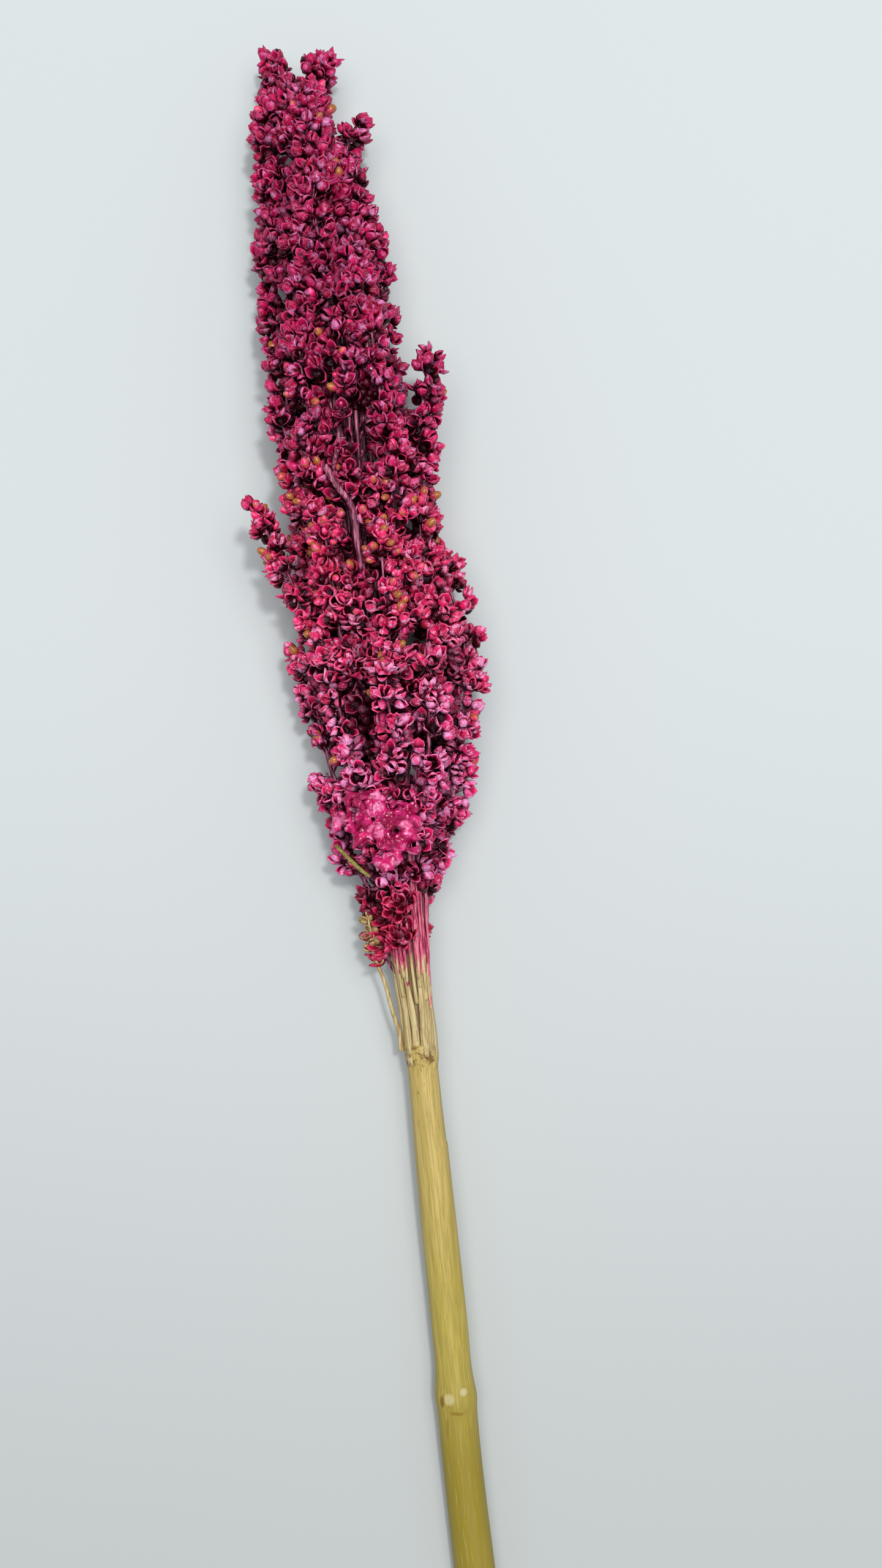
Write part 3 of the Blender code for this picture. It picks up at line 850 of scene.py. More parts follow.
def foot(rng, degrees, start, end, width, thick):
    """A flattened branch foot that runs up from the ring beside the core and leans out to the head."""
    y = np.linspace(start, end, 40)
    share = (y - start) / (end - start)
    wave = rng.uniform(-5, 5) * np.sin(share * 5 + rng.uniform(0, 6))
    turn = degrees + wave + rng.uniform(-9, 9) * share
    out = np.interp(y, [-78, -74, -60, -44, -24, -8], [4.6, 4.75, 5.0, 5.5, 6.9, 8.0])
    out = out + 0.25 * np.sin(share * 9 + rng.uniform(0, 6))
    outward = ray(turn)
    path = middle(y) + outward * out[:, None]
    wide = width / 2 * np.interp(share, [0, 0.06, 0.3, 1], [1.15, 1.05, 1.0, 0.62])
    return tube(path, wide * (1 + 0.1 * np.sin(share * 14)), 10, thick, outward)


def add_stem(materials):
    rng = random.Random(SEED + 4)
    piece = Piece("cut_stem")
    piece.add(*joined([(stem_skin(), SKIN), (cut_face(rng), PITH)]))
    core_y = np.linspace(WHORL_RING - 2, STEM_TOP + 14, 24)
    # the core's last number, 0.2, has the feet's look paint it dark, as the shade between the feet
    piece.add_shape(tube(middle(core_y), CORE_RADIUS, 20), FEET, (0.1, 0.5, 0.0, 0.2))
    for k in range(FOOT_COUNT):
        degrees = 360 * (k + rng.uniform(-0.2, 0.2)) / FOOT_COUNT + 8
        top = FEET_TOP + rng.uniform(-8, 3) if k % 5 != 3 else rng.uniform(-52, -46)
        shape = foot(rng, degrees, WHORL_RING - 1.5 + rng.uniform(-1.0, 2.5), top, rng.uniform(2.3, 3.3),
                     rng.uniform(0.45, 0.7))
        piece.add_shape(shape, FEET, (rng.random(), rng.random(), rng.random(), 1.0))
    for _ in range(FINE_FEET):
        degrees = rng.uniform(-30, 150)
        start = rng.uniform(-60, -44)
        end = start + rng.uniform(24, 44)
        points, triangles, form = foot(rng, degrees, start, end, rng.uniform(0.7, 1.3), 0.8)
        shape = points + 0.9 * ray(degrees), triangles, form
        piece.add_shape(shape, FEET, (rng.random(), rng.random(), rng.random(), 1.0))
    return piece.build(materials, "dry_stem", "stem")


# The painted axis and the bare stems that show in the parting

STRAND_COUNT = 7
FORKED_BRANCH = ((592, 930), (584, 890), (578, 840), (568, 815), (553, 797), (541, 778), (530, 759))
FORK_ARM = ((553, 797), (549, 776), (545, 758), (552, 734))
FORK_HEIGHTS = (42.0, 46.0, 49.0)  # at the start, middle and end of either


def add_axis(material):
    rng = random.Random(SEED + 5)
    piece = Piece("painted_rachis")
    y = np.linspace(STEM_TOP + 1, RACHIS_RADIUS[-1][0] - 6, 150)
    radius = column(RACHIS_RADIUS, 1, y) * (1 + 0.05 * np.sin(y / 3.1))
    piece.add_shape(tube(middle(y), radius, 18))
    for k in range(STRAND_COUNT):
        degrees = 90 + (k - (STRAND_COUNT - 1) / 2) * 15 + rng.uniform(-4, 4)
        y = np.linspace(rng.uniform(60, 74), rng.uniform(148, 166), 40)
        out = np.interp(y, [60, 90, 130, 166], [5.0, 7.5, 10.5, 12.5]) + rng.uniform(-0.8, 0.8)
        outward = ray(degrees + 5 * np.sin(y / 17 + rng.uniform(0, 6)))
        shape = tube(middle(y) + outward * out[:, None], rng.uniform(0.6, 0.95), 8)
        piece.add_shape(shape, chance=(rng.random(), rng.random(), 0.5, 1.0))
    for route, thick in ((FORKED_BRANCH, 1.0), (FORK_ARM, 0.7)):
        heights = np.interp(np.linspace(0, 1, len(route)), [0, 0.5, 1], FORK_HEIGHTS)
        piece.add_shape(tube(path_from_photo(route, heights), thick, 10, 0.8), chance=(0.9, 0.5, 0.5, 1.0))
    return piece.build([material], "painted_axis", "rachis")


# The unpainted sprig, the straw and the paint that has run together

SPRIG_GLUMES_FROM = -45.0
SPRIG_HUSKS = 15
STRAW = ((548, 1380), (556, 1388), (572, 1404), (588, 1419), (603, 1431))
STRAW_HEIGHTS = (29.0, 30.6, 33.0, 34.0, 31.5)


def add_sprig(materials, forms):
    """A dry tan stalk from the ring, and the curled husks at its end."""
    rng = random.Random(SEED + 6)
    piece = Piece("tan_sprig")
    ys = [p[1] for p in SPRIG_ROUTE]
    y = np.linspace(ys[0], ys[-1], 60)
    path = np.stack([smooth_at(ys, [p[i] for p in SPRIG_ROUTE], y) for i in range(3)], -1)
    path[:, 0] += 0.35 * np.sin(y / 3.0) * np.interp(y, [-74, -66], [0, 1])
    piece.add_shape(tube(path, np.interp(y, [-76, -70, -40, -28], [1.1, 0.75, 0.6, 0.35]), 8), 1)
    for k in range(SPRIG_HUSKS):
        at = rng.uniform(SPRIG_GLUMES_FROM, ys[-1])
        seat = np.array([np.interp(at, y, path[:, i]) for i in range(3)])
        turn = 2.4 * k
        direction = unit(np.array([math.cos(turn) * 0.9 - 0.2, 0.45, math.sin(turn) * 0.9 + 0.2]))
        shape = rng.choice(forms["cup"] + forms["bud"])
        points = placed(shape, seat + direction * 0.5, direction, rng.uniform(0, 6), rng.uniform(0.75, 1.0))
        piece.add(points, shape[1], shape[2], 0 * shape[3],
                  chance=(rng.random(), rng.random(), rng.random(), 1.0))
    return piece.build(materials, "dry_glumes", "dry_sprig")


def add_straw(material):
    piece = Piece("green_straw")
    path = path_from_photo(STRAW, STRAW_HEIGHTS)
    radii = np.interp(np.linspace(0, 1, len(path)), [0, 0.5, 0.52, 1], [0.5, 0.62, 0.75, 0.5])
    piece.add_shape(tube(path, radii, 8))
    return piece.build([material], "dry_glumes")


# Each clump of paint: its middle in the photograph, half width, half length and number of spikelets in it
CLUMPS = (
    (618, 1340, 10.0, 6.0, 18), (594, 1314, 5.0, 5.0, 7), (644, 1382, 5.5, 5.0, 11), (576, 1338, 4.0, 5.0, 5),
    (664, 1330, 4.0, 4.0, 4),
)
CLUMP_HEIGHT = 36.0
CLUMP_VOXEL = 0.36
CLUMP_ROUNDS = 5  # of smoothing
FOLD_SHARE = 0.5  # of a clump's parts that are folds of paint, not spikelets
FOLD_CELL, FOLD_DEPTH, FOLD_LIT = 3.4, 1.3, 0.42  # how far apart folds are, how deep, and the painted brightness halfway: higher parts of a fold are painted lighter
CREASE_SCALE, CREASE_DEPTH, CREASE_LIT = 0.19, 2.4, 1.8  # creases to a millimetre, their depth, and how strongly they paint light and shade


def top_of_head(x, y):
    """Height of the head's upper surface."""
    mid = middle(y)
    side = float(column(HEAD_REACH, 2 if x > mid[0] else 1, y))
    across = (x - mid[0]) / (side + 3)
    return mid[2] + float(column(HEAD_REACH, 3, y)) * math.sqrt(max(0.0, 1 - across**2))


def run_together(made):
    """Melts the parts of a mesh into one skin, softens it, and marks painted light on its raised folds and
    painted shade in its creases.
    """
    merge = made.modifiers.new("merge", "REMESH")
    merge.mode = "VOXEL"
    merge.voxel_size = CLUMP_VOXEL * MM
    merge.use_smooth_shade = True
    soften = made.modifiers.new("soften", "SMOOTH")
    soften.factor = 0.6
    soften.iterations = CLUMP_ROUNDS
    mesh = bpy.data.meshes.new_from_object(made.evaluated_get(bpy.context.evaluated_depsgraph_get()))
    made.modifiers.clear()
    made.data = mesh
    points = np.empty(3 * len(mesh.vertices), np.float32)
    mesh.vertices.foreach_get("co", points)
    points = points.reshape(-1, 3) / MM
    cell = np.unique(np.floor(points[:, :2] / FOLD_CELL), axis=0, return_inverse=True)[1].ravel()
    mean = np.bincount(cell, points[:, 2]) / np.bincount(cell)
    creases = np.array([turbulence(Vector(point) * CREASE_SCALE, 2, True) for point in points.tolist()])
    creases -= creases.mean()
    # painted light and shade: points above the fold's mean are lighter, and creases darker
    lit = np.clip(FOLD_LIT + (points[:, 2] - mean[cell]) / FOLD_DEPTH + CREASE_LIT * creases, 0, 1)
    normals = np.empty(3 * len(mesh.vertices), np.float32)
    mesh.vertices.foreach_get("normal", normals)
    points = points + normals.reshape(-1, 3) * (creases * CREASE_DEPTH)[:, None]
    mesh.vertices.foreach_set("co", (points * MM).astype(np.float32).ravel())
    colours = np.stack([0 * lit, 0 * lit, lit, 1 + 0 * lit], -1)
    layer = mesh.attributes.new("chance", "FLOAT_COLOR", "POINT")
    layer.data.foreach_set("color", colours.astype(np.float32).ravel())


def add_clumps(material, forms):
    """Spikelets that thick paint has run over and joined."""
    rng = random.Random(SEED + 8)
    piece = Piece("paint_clumps")
    for px, py, half_wide, half_long, count in CLUMPS:
        x0, y0, _ = from_photo(px, py, CLUMP_HEIGHT)
        for _ in range(count):
            a = rng.uniform(0, 2 * math.pi)
            out = math.sqrt(rng.random())
            x = x0 + half_wide * out * math.cos(a)
            y = y0 + half_long * out * math.sin(a)
            top = top_of_head(x, y)
            if rng.random() < FOLD_SHARE:
                direction = unit(random_of(rng, (-1.0, 1.0), (-0.6, 0.6), (-0.1, 0.35)))
                seat = np.array([x, y, top - rng.uniform(1.6, 3.0)]) - direction * 4
                fold = ovoid(10, 8, rng.uniform(3.2, 5.0), rng.uniform(8.0, 12.0))
                piece.add_shape((placed(fold, seat, direction, rng.uniform(0, 6), 1.0), *fold[1:]))
                continue
            direction = unit(random_of(rng, (-0.7, 0.7), (0.0, 1.0), (0.3, 0.8)))
            seat = np.array([x, y, top - rng.uniform(3.6, 4.8)])
            shape = rng.choice(forms["bud"] + forms["cup"][:6])
            points = placed(shape, seat, direction, rng.uniform(0, 6), rng.uniform(1.4, 1.9))
            piece.add(points, shape[1], shape[2], 0 * shape[3])
    made = piece.build([material], "painted_spikelets")
    run_together(made)
    return made


# Materials

WHITE = (1.0, 1.0, 1.0)
CRIMSON_DEEP = (0.07, 0.001, 0.008)
CRIMSON = (0.54, 0.004, 0.045)
MAGENTA = (0.82, 0.012, 0.125)
ROSE = (0.98, 0.15, 0.36)
RIM_PINK = (0.98, 0.17, 0.32)
PEARL_HIGHLIGHT = (0.98, 0.38, 0.62)
THICK_PAINT = (0.98, 0.12, 0.31)
DEEP_SHADE = (0.05, 0.008, 0.016)
PAINT_GLINT = (1.0, 0.52, 0.70, 1.0)
OCHRE, OCHRE_PALE, OCHRE_RED = (0.32, 0.10, 0.02), (0.46, 0.17, 0.045), (0.50, 0.14, 0.04)
RUN_PAINT_DEEP, RUN_PAINT, RUN_PAINT_SHEEN = (0.30, 0.005, 0.055), (0.62, 0.016, 0.155), (0.95, 0.30, 0.56)
RUN_PAINT_SHADE = (0.08, 0.02, 0.06)
# Where the paint's colour shifts along the head: from and to, and what multiplies it before and after
PAINT_ZONES = (
    (0.0, 0.09, (1.0, 1.0, 1.18), WHITE), (-0.014, -0.024, WHITE, (0.80, 0.55, 0.50)),
    (0.06, 0.15, WHITE, (0.70, 0.60, 0.78)),
)
# Looks of fine lines: their scale, from and to, the dark and pale colours, roughness, bump and its depth
FIBRE_LOOKS = {
    "painted_axes": ((1300, 60, 1300), 0.44, 0.66, (0.11, 0.006, 0.03), (0.52, 0.14, 0.25), 0.42, 0.6, 2e-4),
    "tan_stalk": ((1700, 120, 1700), 0.35, 0.65, (0.33, 0.20, 0.07), (0.60, 0.47, 0.23), 0.5, 0.5, 3e-4),
    "green_straw": (700, 0.35, 0.65, (0.17, 0.14, 0.02), (0.34, 0.32, 0.07), 0.5, 0.4, 2e-4),
}
UNPAINTED = (0.78, 0.77, 0.74)  # what the unpainted straw colours are multiplied by
STEM_YELLOW, STEM_TAN, STEM_OLIVE = (0.57, 0.455, 0.09), (0.75, 0.56, 0.19), (0.36, 0.28, 0.018)
FIBRE_DARK, FIBRE_PALE, STEM_DULL = (0.34, 0.25, 0.065), (0.74, 0.64, 0.34), (0.40, 0.30, 0.055)
FLECK, RING_STAIN = (0.25, 0.16, 0.05), (0.17, 0.075, 0.015)
# Marks on the stem's joint: the layout's point, half sizes in millimetres, colour and strength
STEM_MARKS = (
    ((25.6, -189.0, 16.6), (2.4, 2.6, 3.0), (0.72, 0.64, 0.34), 0.7),
    ((30.6, -186.5, 15.0), (1.5, 1.6, 3.0), (0.75, 0.68, 0.42), 0.7),
    ((23.6, -190.0, 14.4), (0.9, 2.6, 3.0), (0.26, 0.14, 0.02), 0.9),
    ((28.4, -193.6, 16.0), (2.9, 0.8, 3.0), (0.32, 0.19, 0.02), 0.8),
    ((25.4, -199.0, 15.6), (0.7, 6.0, 3.0), (0.33, 0.23, 0.03), 0.8),
)
STEM_TURN = math.radians(-6)  # between the stem and the layout's length
PAINT_DOT, DOT_SIZE = (666, 1606, 22.0), (0.8, 1.2, 4.0)  # a drop of paint on the bare feet


class Look:
    """A material in the making. Most calls add a node and give its output."""

    def __init__(self, name):
        self.material = bpy.data.materials.new(name)
        self.material.use_nodes = True
        self.nodes, self.links = self.material.node_tree.nodes, self.material.node_tree.links
        self.shader = self.nodes["Principled BSDF"]
        self.place = self.nodes.new("ShaderNodeTexCoord").outputs["Object"]
        parts = self.nodes.new("ShaderNodeSeparateXYZ")
        self.links.new(self.place, parts.inputs[0])
        self.axes = parts.outputs

    def feed(self, given, socket):
        """Links an output to a socket, or sets the socket's value."""
        if isinstance(given, bpy.types.NodeSocket):
            self.links.new(given, socket)
        else:
            socket.default_value = (*given, 1.0) if isinstance(given, tuple) else given

    def maths(self, operation, a, b):
        node = self.nodes.new("ShaderNodeMath")
        node.operation = operation
        self.feed(a, node.inputs[0])
        self.feed(b, node.inputs[1])
        return node.outputs[0]

    def times(self, product, *others):
        for other in others:
            product = self.maths("MULTIPLY", product, other)
        return product

    def plus(self, total, *others):
        for other in others:
            total = self.maths("ADD", total, other)
        return total

    def mix(self, share, a, b, blend="MIX"):
        node = self.nodes.new("ShaderNodeMix")
        node.data_type = "RGBA"
        node.blend_type = blend
        self.feed(share, node.inputs[0])
        self.feed(a, node.inputs[6])
        self.feed(b, node.inputs[7])
        return node.outputs[2]

    def shade(self, tint, by):
        return self.mix(1.0, tint, by, "MULTIPLY")

    def steps(self, value, low, high):
        """0 at low, 1 at high, and smooth between."""
        node = self.nodes.new("ShaderNodeMapRange")
        node.interpolation_type = "SMOOTHSTEP"
        self.feed(value, node.inputs["Value"])
        node.inputs["From Min"].default_value = min(low, high)
        node.inputs["From Max"].default_value = max(low, high)
        return self.maths("SUBTRACT", 1.0, node.outputs[0]) if low > high else node.outputs[0]

    def cover(self, tint, value, low, high, colour, most=1.0):
        """The tint, covered by a colour as a value goes from low to high."""
        share = self.steps(value, low, high)
        return self.mix(share if most == 1.0 else self.times(share, most), tint, colour)

    def noise(self, scale, detail=2.0, roughness=0.5, turn=0.0, at=None):
        """Noise over the object or another vector, turned about Z, at one scale or one for each axis."""
        at = self.place if at is None else at
        if turn:
            rotate = self.nodes.new("ShaderNodeVectorRotate")
            rotate.rotation_type = "Z_AXIS"
            rotate.inputs["Angle"].default_value = turn
            self.links.new(at, rotate.inputs["Vector"])
            at = rotate.outputs[0]
        if isinstance(scale, tuple):
            stretch = self.nodes.new("ShaderNodeMapping")
            stretch.inputs["Scale"].default_value = scale
            self.links.new(at, stretch.inputs["Vector"])
            at, scale = stretch.outputs[0], 1.0
        node = self.nodes.new("ShaderNodeTexNoise")
        for name, value in (("Scale", scale), ("Detail", detail), ("Roughness", roughness)):
            node.inputs[name].default_value = value
        self.links.new(at, node.inputs["Vector"])
        return node.outputs["Fac"]

    def attribute(self, name):
        """The four numbers that the mesh holds at each point under a name."""
        node = self.nodes.new("ShaderNodeAttribute")
        node.attribute_name = name
        parts = self.nodes.new("ShaderNodeSeparateColor")
        self.links.new(node.outputs["Color"], parts.inputs[0])
        return (*parts.outputs[:3], node.outputs["Alpha"])

    def spot(self, centre, size):
        """1 at a point of the layout, falling to 0 at a distance given for each axis, in millimetres."""
        total = 0.0
        for socket, at, half in zip(self.axes, np.array(centre) - CENTRE, size):
            away = self.maths("DIVIDE", self.maths("SUBTRACT", socket, at * MM), half * MM)
            total = self.plus(self.times(away, away), total)
        return self.steps(total, 1.0, 0.2)

    def finish(self, tint, roughness, relief, strength, depth, specular=0.5):
        """Sets the shader's colour, roughness, specular level and bump, and gives the material."""
        self.feed(tint, self.shader.inputs["Base Color"])
        self.feed(roughness, self.shader.inputs["Roughness"])
        self.shader.inputs["Specular IOR Level"].default_value = specular
        node = self.nodes.new("ShaderNodeBump")
        node.inputs["Strength"].default_value = strength
        node.inputs["Distance"].default_value = depth
        self.links.new(relief, node.inputs["Height"])
        self.links.new(node.outputs[0], self.shader.inputs["Normal"])
        return self.material


def painted_glumes():
    """Painted husks: ribbed, with pale pearly patches that are painted highlights, rims paler where the paint
    gathers and as a painted highlight, and painted shade inside the cups, at the husks' bases and deep in the
    head.
    """
    look = Look("painted_glumes")
    rim, inside, u, v = look.attribute("form")
    first, second, lit, unshaded = look.attribute("chance")
    along = look.axes[1]
    low_paint = look.times(look.steps(along, 0.085, 0.025), look.steps(along, -0.030, -0.015))
    tint = look.cover(CRIMSON, first, 0.1, 0.9, MAGENTA)
    spots = look.noise(620, 3.0, 0.65)
    tint = look.cover(tint, spots, 0.50, 0.62, ROSE, 0.9)
    thick = look.times(low_paint, look.steps(second, -0.1, 0.7), look.steps(spots, 0.36, 0.56), 0.8)
    tint = look.mix(thick, tint, THICK_PAINT)
    # painted highlight: pale pearly patches, more of them on the thick paint low on the head
    pearl_highlight = look.plus(look.noise(380, 3.0, 0.65), look.times(second, 0.16), look.times(low_paint, 0.075))
    tint = look.cover(tint, pearl_highlight, 0.62, 0.70, PEARL_HIGHLIGHT, 0.95)
    streaks = look.nodes.new("ShaderNodeCombineXYZ")
    for source, scale, socket in zip((u, v, first), (1.6, 12.0, 90.0), streaks.inputs):
        look.feed(look.times(source, scale), socket)
    ribs = look.noise(1.0, at=streaks.outputs[0])
    tint = look.cover(tint, ribs, 0.50, 0.36, CRIMSON_DEEP, 0.6)
    # painted shade: each husk darkens towards its base, and its inside darkens deeper into the cup
    tint = look.cover(tint, u, 0.45, 0.05, CRIMSON_DEEP)
    tint = look.mix(inside, tint, look.cover(CRIMSON_DEEP, u, 0.25, 0.85, MAGENTA))
    # pale rims: partly paint gathered at the edges, partly a painted highlight
    edge = look.times(look.maths("POWER", rim, 2.0), look.steps(spots, 0.3, 0.6), 0.5)
    tint = look.mix(edge, tint, RIM_PINK)
    # painted shade: darker deep in the head and towards the foot of each spray
    light = look.times(unshaded, look.steps(lit, 0.08, 0.70))
    tint = look.shade(tint, look.mix(light, DEEP_SHADE, WHITE))
    for start, end, before, after in PAINT_ZONES:
        tint = look.shade(tint, look.cover(before, along, start, end, after))
    look.shader.inputs["Specular Tint"].default_value = PAINT_GLINT
    rough = look.plus(look.times(spots, 0.22), 0.14)
    return look.finish(tint, rough, look.plus(ribs, spots), 0.8, 0.0004, 0.35)


def held_seeds():
    """Ochre seeds, partly painted over."""
    look = Look("held_seeds")
    u = look.attribute("form")[2]
    first = look.attribute("chance")[0]
    fine = look.noise(900, 3.0)
    tint = look.cover(OCHRE, fine, 0.35, 0.65, OCHRE_PALE)
    tint = look.cover(tint, first, 0.5, 1.0, OCHRE_RED)
    paint = look.plus(look.noise(330), look.times(first, 0.26))
    tint = look.cover(tint, paint, 0.57, 0.72, look.cover(MAGENTA, fine, 0.4, 0.7, ROSE))
    tint = look.cover(tint, u, 0.6, 0.25, MAGENTA)
    return look.finish(tint, 0.27, fine, 0.3, 0.00015)


def glossy_paint():
    """Smooth paint, as on sealed seeds and where it has run together, with pale patches of painted sheen, and
    painted shade where its lit value is low: in creases and low folds, and near a spray's root.
    """
    look = Look("glossy_paint")
    lit = look.attribute("chance")[2]
    tint = look.cover(RUN_PAINT_DEEP, look.noise(240, 3.0, 0.6), 0.38, 0.60, RUN_PAINT)
    # painted highlight: pale sheen patches
    tint = look.cover(tint, look.noise(230, 3.0, 0.65), 0.53, 0.63, RUN_PAINT_SHEEN, 0.55)
    # painted shade in the creases and low parts of the folds
    tint = look.shade(tint, look.mix(lit, RUN_PAINT_SHADE, WHITE))
    wrinkles = look.plus(look.noise(240), look.times(look.noise(900), 0.15))
    return look.finish(tint, 0.15, wrinkles, 0.7, 0.0012)


def fibre_look(name, scale, low, high, dark, pale, roughness, strength, depth):
    """Two colours in fine lines along a piece."""
    look = Look(name)
    fibres = look.noise(scale, 3.0, 0.6)
    return look.finish(look.cover(dark, fibres, low, high, pale), roughness, fibres, strength, depth)


def stem_skin_look():
    """Tan near the ring and olive yellow lower down, with fine fibres, dark flecks and the joint's scars."""
    look = Look("stem_skin")
    along = look.axes[1]
    tint = look.cover(STEM_YELLOW, along, -0.17, -0.085, STEM_TAN)
    tint = look.cover(tint, along, -0.17, -0.215, STEM_OLIVE)
    fibres = look.noise((2100, 26, 2100), 3.0, 0.6, STEM_TURN)
    tint = look.cover(tint, fibres, 0.56, 0.40, FIBRE_DARK, 0.45)
    tint = look.cover(tint, fibres, 0.56, 0.72, FIBRE_PALE, 0.35)
    tint = look.cover(tint, look.noise((330, 14, 330), 2.0, 0.5, STEM_TURN), 0.42, 0.68, STEM_DULL, 0.4)
    flecks = look.noise((1500, 210, 1500), 3.0, 0.7, STEM_TURN)
    near_ring = look.times(look.steps(along, -0.113, -0.082), 0.75)
    tint = look.mix(look.times(look.steps(flecks, 0.60, 0.70), near_ring), tint, FLECK)
    blotch = look.steps(look.noise(420, 3.0, 0.6), 0.50, 0.60)
    tint = look.mix(look.times(look.steps(along, -0.0785, -0.0755), blotch, 0.8), tint, RING_STAIN)
    for at, size, colour, strength in STEM_MARKS:
        tint = look.mix(look.times(look.spot(at, size), strength), tint, colour)
    return look.finish(look.shade(tint, UNPAINTED), 0.48, look.plus(fibres, flecks), 0.35, 0.0002, 0.3)


def pith_look():
    look = Look("pith")
    spots = look.noise(1500, 2.0, 0.7)
    tint = look.cover((0.50, 0.38, 0.20), spots, 0.40, 0.62, (0.78, 0.70, 0.50))
    tint = look.cover(tint, look.attribute("form")[0], 0.9, 0.96, (0.45, 0.36, 0.14))
    return look.finish(look.shade(tint, UNPAINTED), 0.9, spots, 0.8, 0.0004)


def feet_look():
    """Bare tan feet that turn magenta with pale lines where the paint ends raggedly, and a core between them
    painted dark as shade.
    """
    look = Look("branch_feet")
    first, _, _, unshaded = look.attribute("chance")
    right, along, _ = look.axes
    fibres = look.noise((1900, 40, 1900), 3.0, 0.6, STEM_TURN)
    tan = look.cover((0.46, 0.32, 0.12), fibres, 0.35, 0.6, (0.74, 0.60, 0.30))
    blotch = look.noise(300, 3.0, 0.6)
    tan = look.cover(tan, blotch, 0.60, 0.75, (0.30, 0.19, 0.06), 0.5)
    base = look.times(look.steps(along, -0.069, -0.075), look.steps(blotch, 0.44, 0.60), 0.85)
    tan = look.mix(base, tan, (0.15, 0.065, 0.015))
    paint = look.cover((0.34, 0.008, 0.06), fibres, 0.40, 0.64, (0.80, 0.20, 0.30))
    ragged = look.times(look.noise((700, 90, 700), 2.0, 0.6), 0.026)
    lower = look.times(look.steps(right, 0.0165, 0.0195), 0.014)
    edge = look.plus(along, ragged, lower, look.times(first, 0.006))
    dot = look.spot(from_photo(*PAINT_DOT), DOT_SIZE)
    painted = look.maths("MAXIMUM", look.steps(edge, -0.0285, -0.0270), dot)
    tint = look.mix(painted, look.shade(tan, UNPAINTED), paint)
    # painted shade: the core between the feet is darkened
    tint = look.shade(tint, look.mix(unshaded, (0.3, 0.22, 0.16), WHITE))
    return look.finish(tint, 0.45, fibres, 0.5, 0.0003)


def tan_husks():
    look = Look("tan_husks")
    rim, inside, _, _ = look.attribute("form")
    spots = look.noise(600, 3.0, 0.6)
    tint = look.cover((0.34, 0.19, 0.06), spots, 0.35, 0.65, (0.62, 0.43, 0.18))
    # painted shade: the insides of the husks are darkened
    tint = look.mix(look.times(inside, 0.85), tint, (0.12, 0.05, 0.02))
    tint = look.mix(look.times(look.maths("POWER", rim, 2.5), 0.7), tint, (0.74, 0.58, 0.30))
    # painted husks are also darker inside, as painted shade
    painted = look.mix(inside, (0.50, 0.05, 0.10), (0.08, 0.004, 0.015))
    tint = look.cover(look.shade(tint, UNPAINTED), look.attribute("chance")[0], 0.62, 0.74, painted)
    return look.finish(tint, 0.6, spots, 0.6, 0.0003)


# Camera, light and floor

SENSOR_WIDTH = 36.0
FLOOR_HALF = 3.0
FLOOR_TINTS = ((0.56, 0.602, 0.608), (0.59, 0.623, 0.625))
FLOOR_FALLOFF_SHADE = (0.80, 0.79, 0.78)  # painted shade: what multiplies them towards the view's lower edge, where the light falls off
SKY_COLOUR, SKY_STRENGTH = (0.84, 0.91, 1.0, 1.0), 0.36
LIGHT_AIM = (0.0, 0.05, 0.0)
# Each light's name, place, size across, watts and colour
LIGHTS = (
    ("window", (0.15, 0.3, 2.6), 2.4, 49.0, (1.0, 0.985, 0.96)),
    ("pane", (0.35, 0.5, 2.4), 0.22, 22.0, (1.0, 1.0, 1.0)),
)


def add_camera():
    x, y, _ = from_photo(PHOTO_SIZE[0] / 2, PHOTO_SIZE[1] / 2) - CENTRE
    data = bpy.data.cameras.new("camera")
    camera = bpy.data.objects.new("camera", data)
    bpy.context.scene.collection.objects.link(camera)
    camera.location = (x * MM, y * MM, CAMERA_HEIGHT * MM)
    data.sensor_width = SENSOR_WIDTH
    data.lens = SENSOR_WIDTH * (CAMERA_HEIGHT - MIDDLE_HEIGHT) / (PHOTO_SIZE[1] * PHOTO_MM_PER_PIXEL)
    data.clip_start = 0.01
    data.clip_end = 10.0
    bpy.context.scene.camera = camera


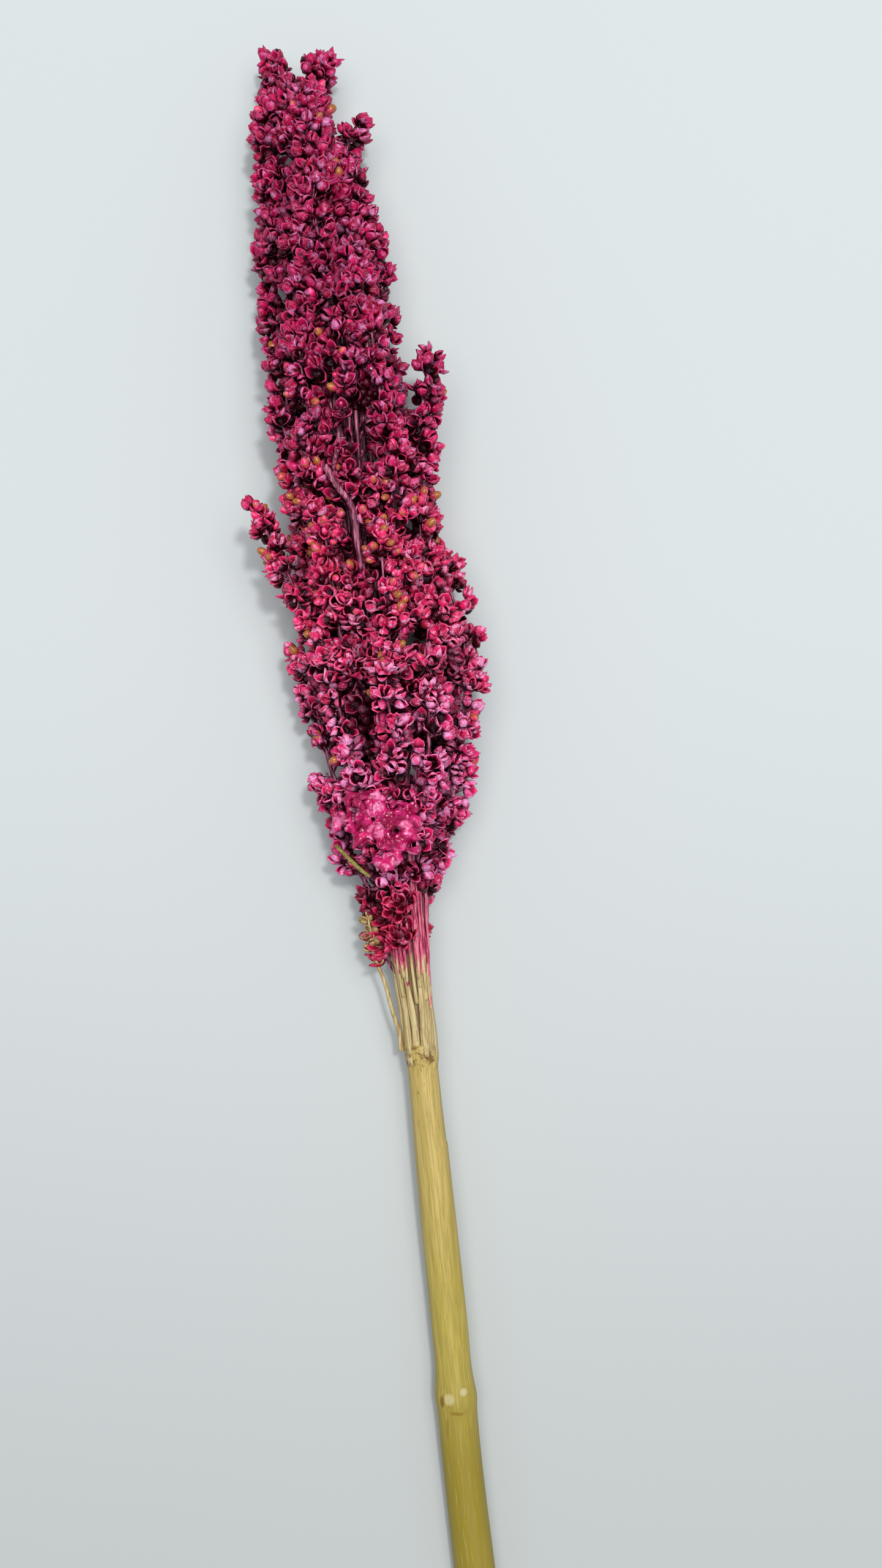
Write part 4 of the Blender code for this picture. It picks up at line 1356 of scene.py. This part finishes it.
def add_light():
    world = bpy.data.worlds.new("soft_daylight")
    world.use_nodes = True
    sky = world.node_tree.nodes["Background"]
    sky.inputs[0].default_value = SKY_COLOUR
    sky.inputs[1].default_value = SKY_STRENGTH
    bpy.context.scene.world = world
    for name, at, size, watts, colour in LIGHTS:
        data = bpy.data.lights.new(name, "AREA")
        data.shape = "DISK"
        data.size = size
        data.energy = watts
        data.color = colour
        light = bpy.data.objects.new(name, data)
        bpy.context.scene.collection.objects.link(light)
        light.location = at
        light.rotation_mode = "QUATERNION"
        light.rotation_quaternion = (Vector(LIGHT_AIM) - Vector(at)).to_track_quat("-Z", "Y")
    bpy.context.scene.view_settings.view_transform = "Standard"


def add_floor():
    corners = [(x * FLOOR_HALF, y * FLOOR_HALF, 0) for x, y in ((-1, -1), (1, -1), (1, 1), (-1, 1))]
    mesh = bpy.data.meshes.new("floor")
    mesh.from_pydata(corners, [], [(0, 1, 2, 3)])
    floor = bpy.data.objects.new("floor", mesh)
    bpy.context.scene.collection.objects.link(floor)
    look = Look("pale_floor")
    tint = look.mix(look.noise(2.2), *FLOOR_TINTS)
    # painted shade: the floor darkens towards the lower edge, as the light falls off
    tint = look.cover(tint, look.axes[1], 0.10, -0.30, look.shade(tint, FLOOR_FALLOFF_SHADE))
    mesh.materials.append(look.finish(tint, 0.8, look.noise(900), 0.05, 0.0003))


# Putting it together

def dress_head(forms, materials, branches):
    rng = random.Random(SEED + 3)
    for w in range(len(WHORLS)):
        piece = Piece(f"whorl_{w + 1}")
        members = [b for b in branches if b["whorl"] == w]
        for branch in members:
            dress_branch(piece, branch, rng, branches, forms)
        piece.build(materials, "painted_spikelets", *[b["name"] for b in members])


def main():
    add_camera()
    add_light()
    add_floor()
    axes, stalk, straw = (fibre_look(name, *values) for name, values in FIBRE_LOOKS.items())
    gloss = glossy_paint()
    forms = make_forms()
    branches = all_branches()
    spikelet_looks = [painted_glumes(), held_seeds(), gloss, axes]
    dress_head(forms, spikelet_looks, branches)
    add_inner_sprays(forms, spikelet_looks, branches)
    add_stem([stem_skin_look(), pith_look(), feet_look()])
    add_axis(axes)
    add_sprig([tan_husks(), stalk], forms)
    add_straw(straw)
    add_clumps(gloss, forms)


main()
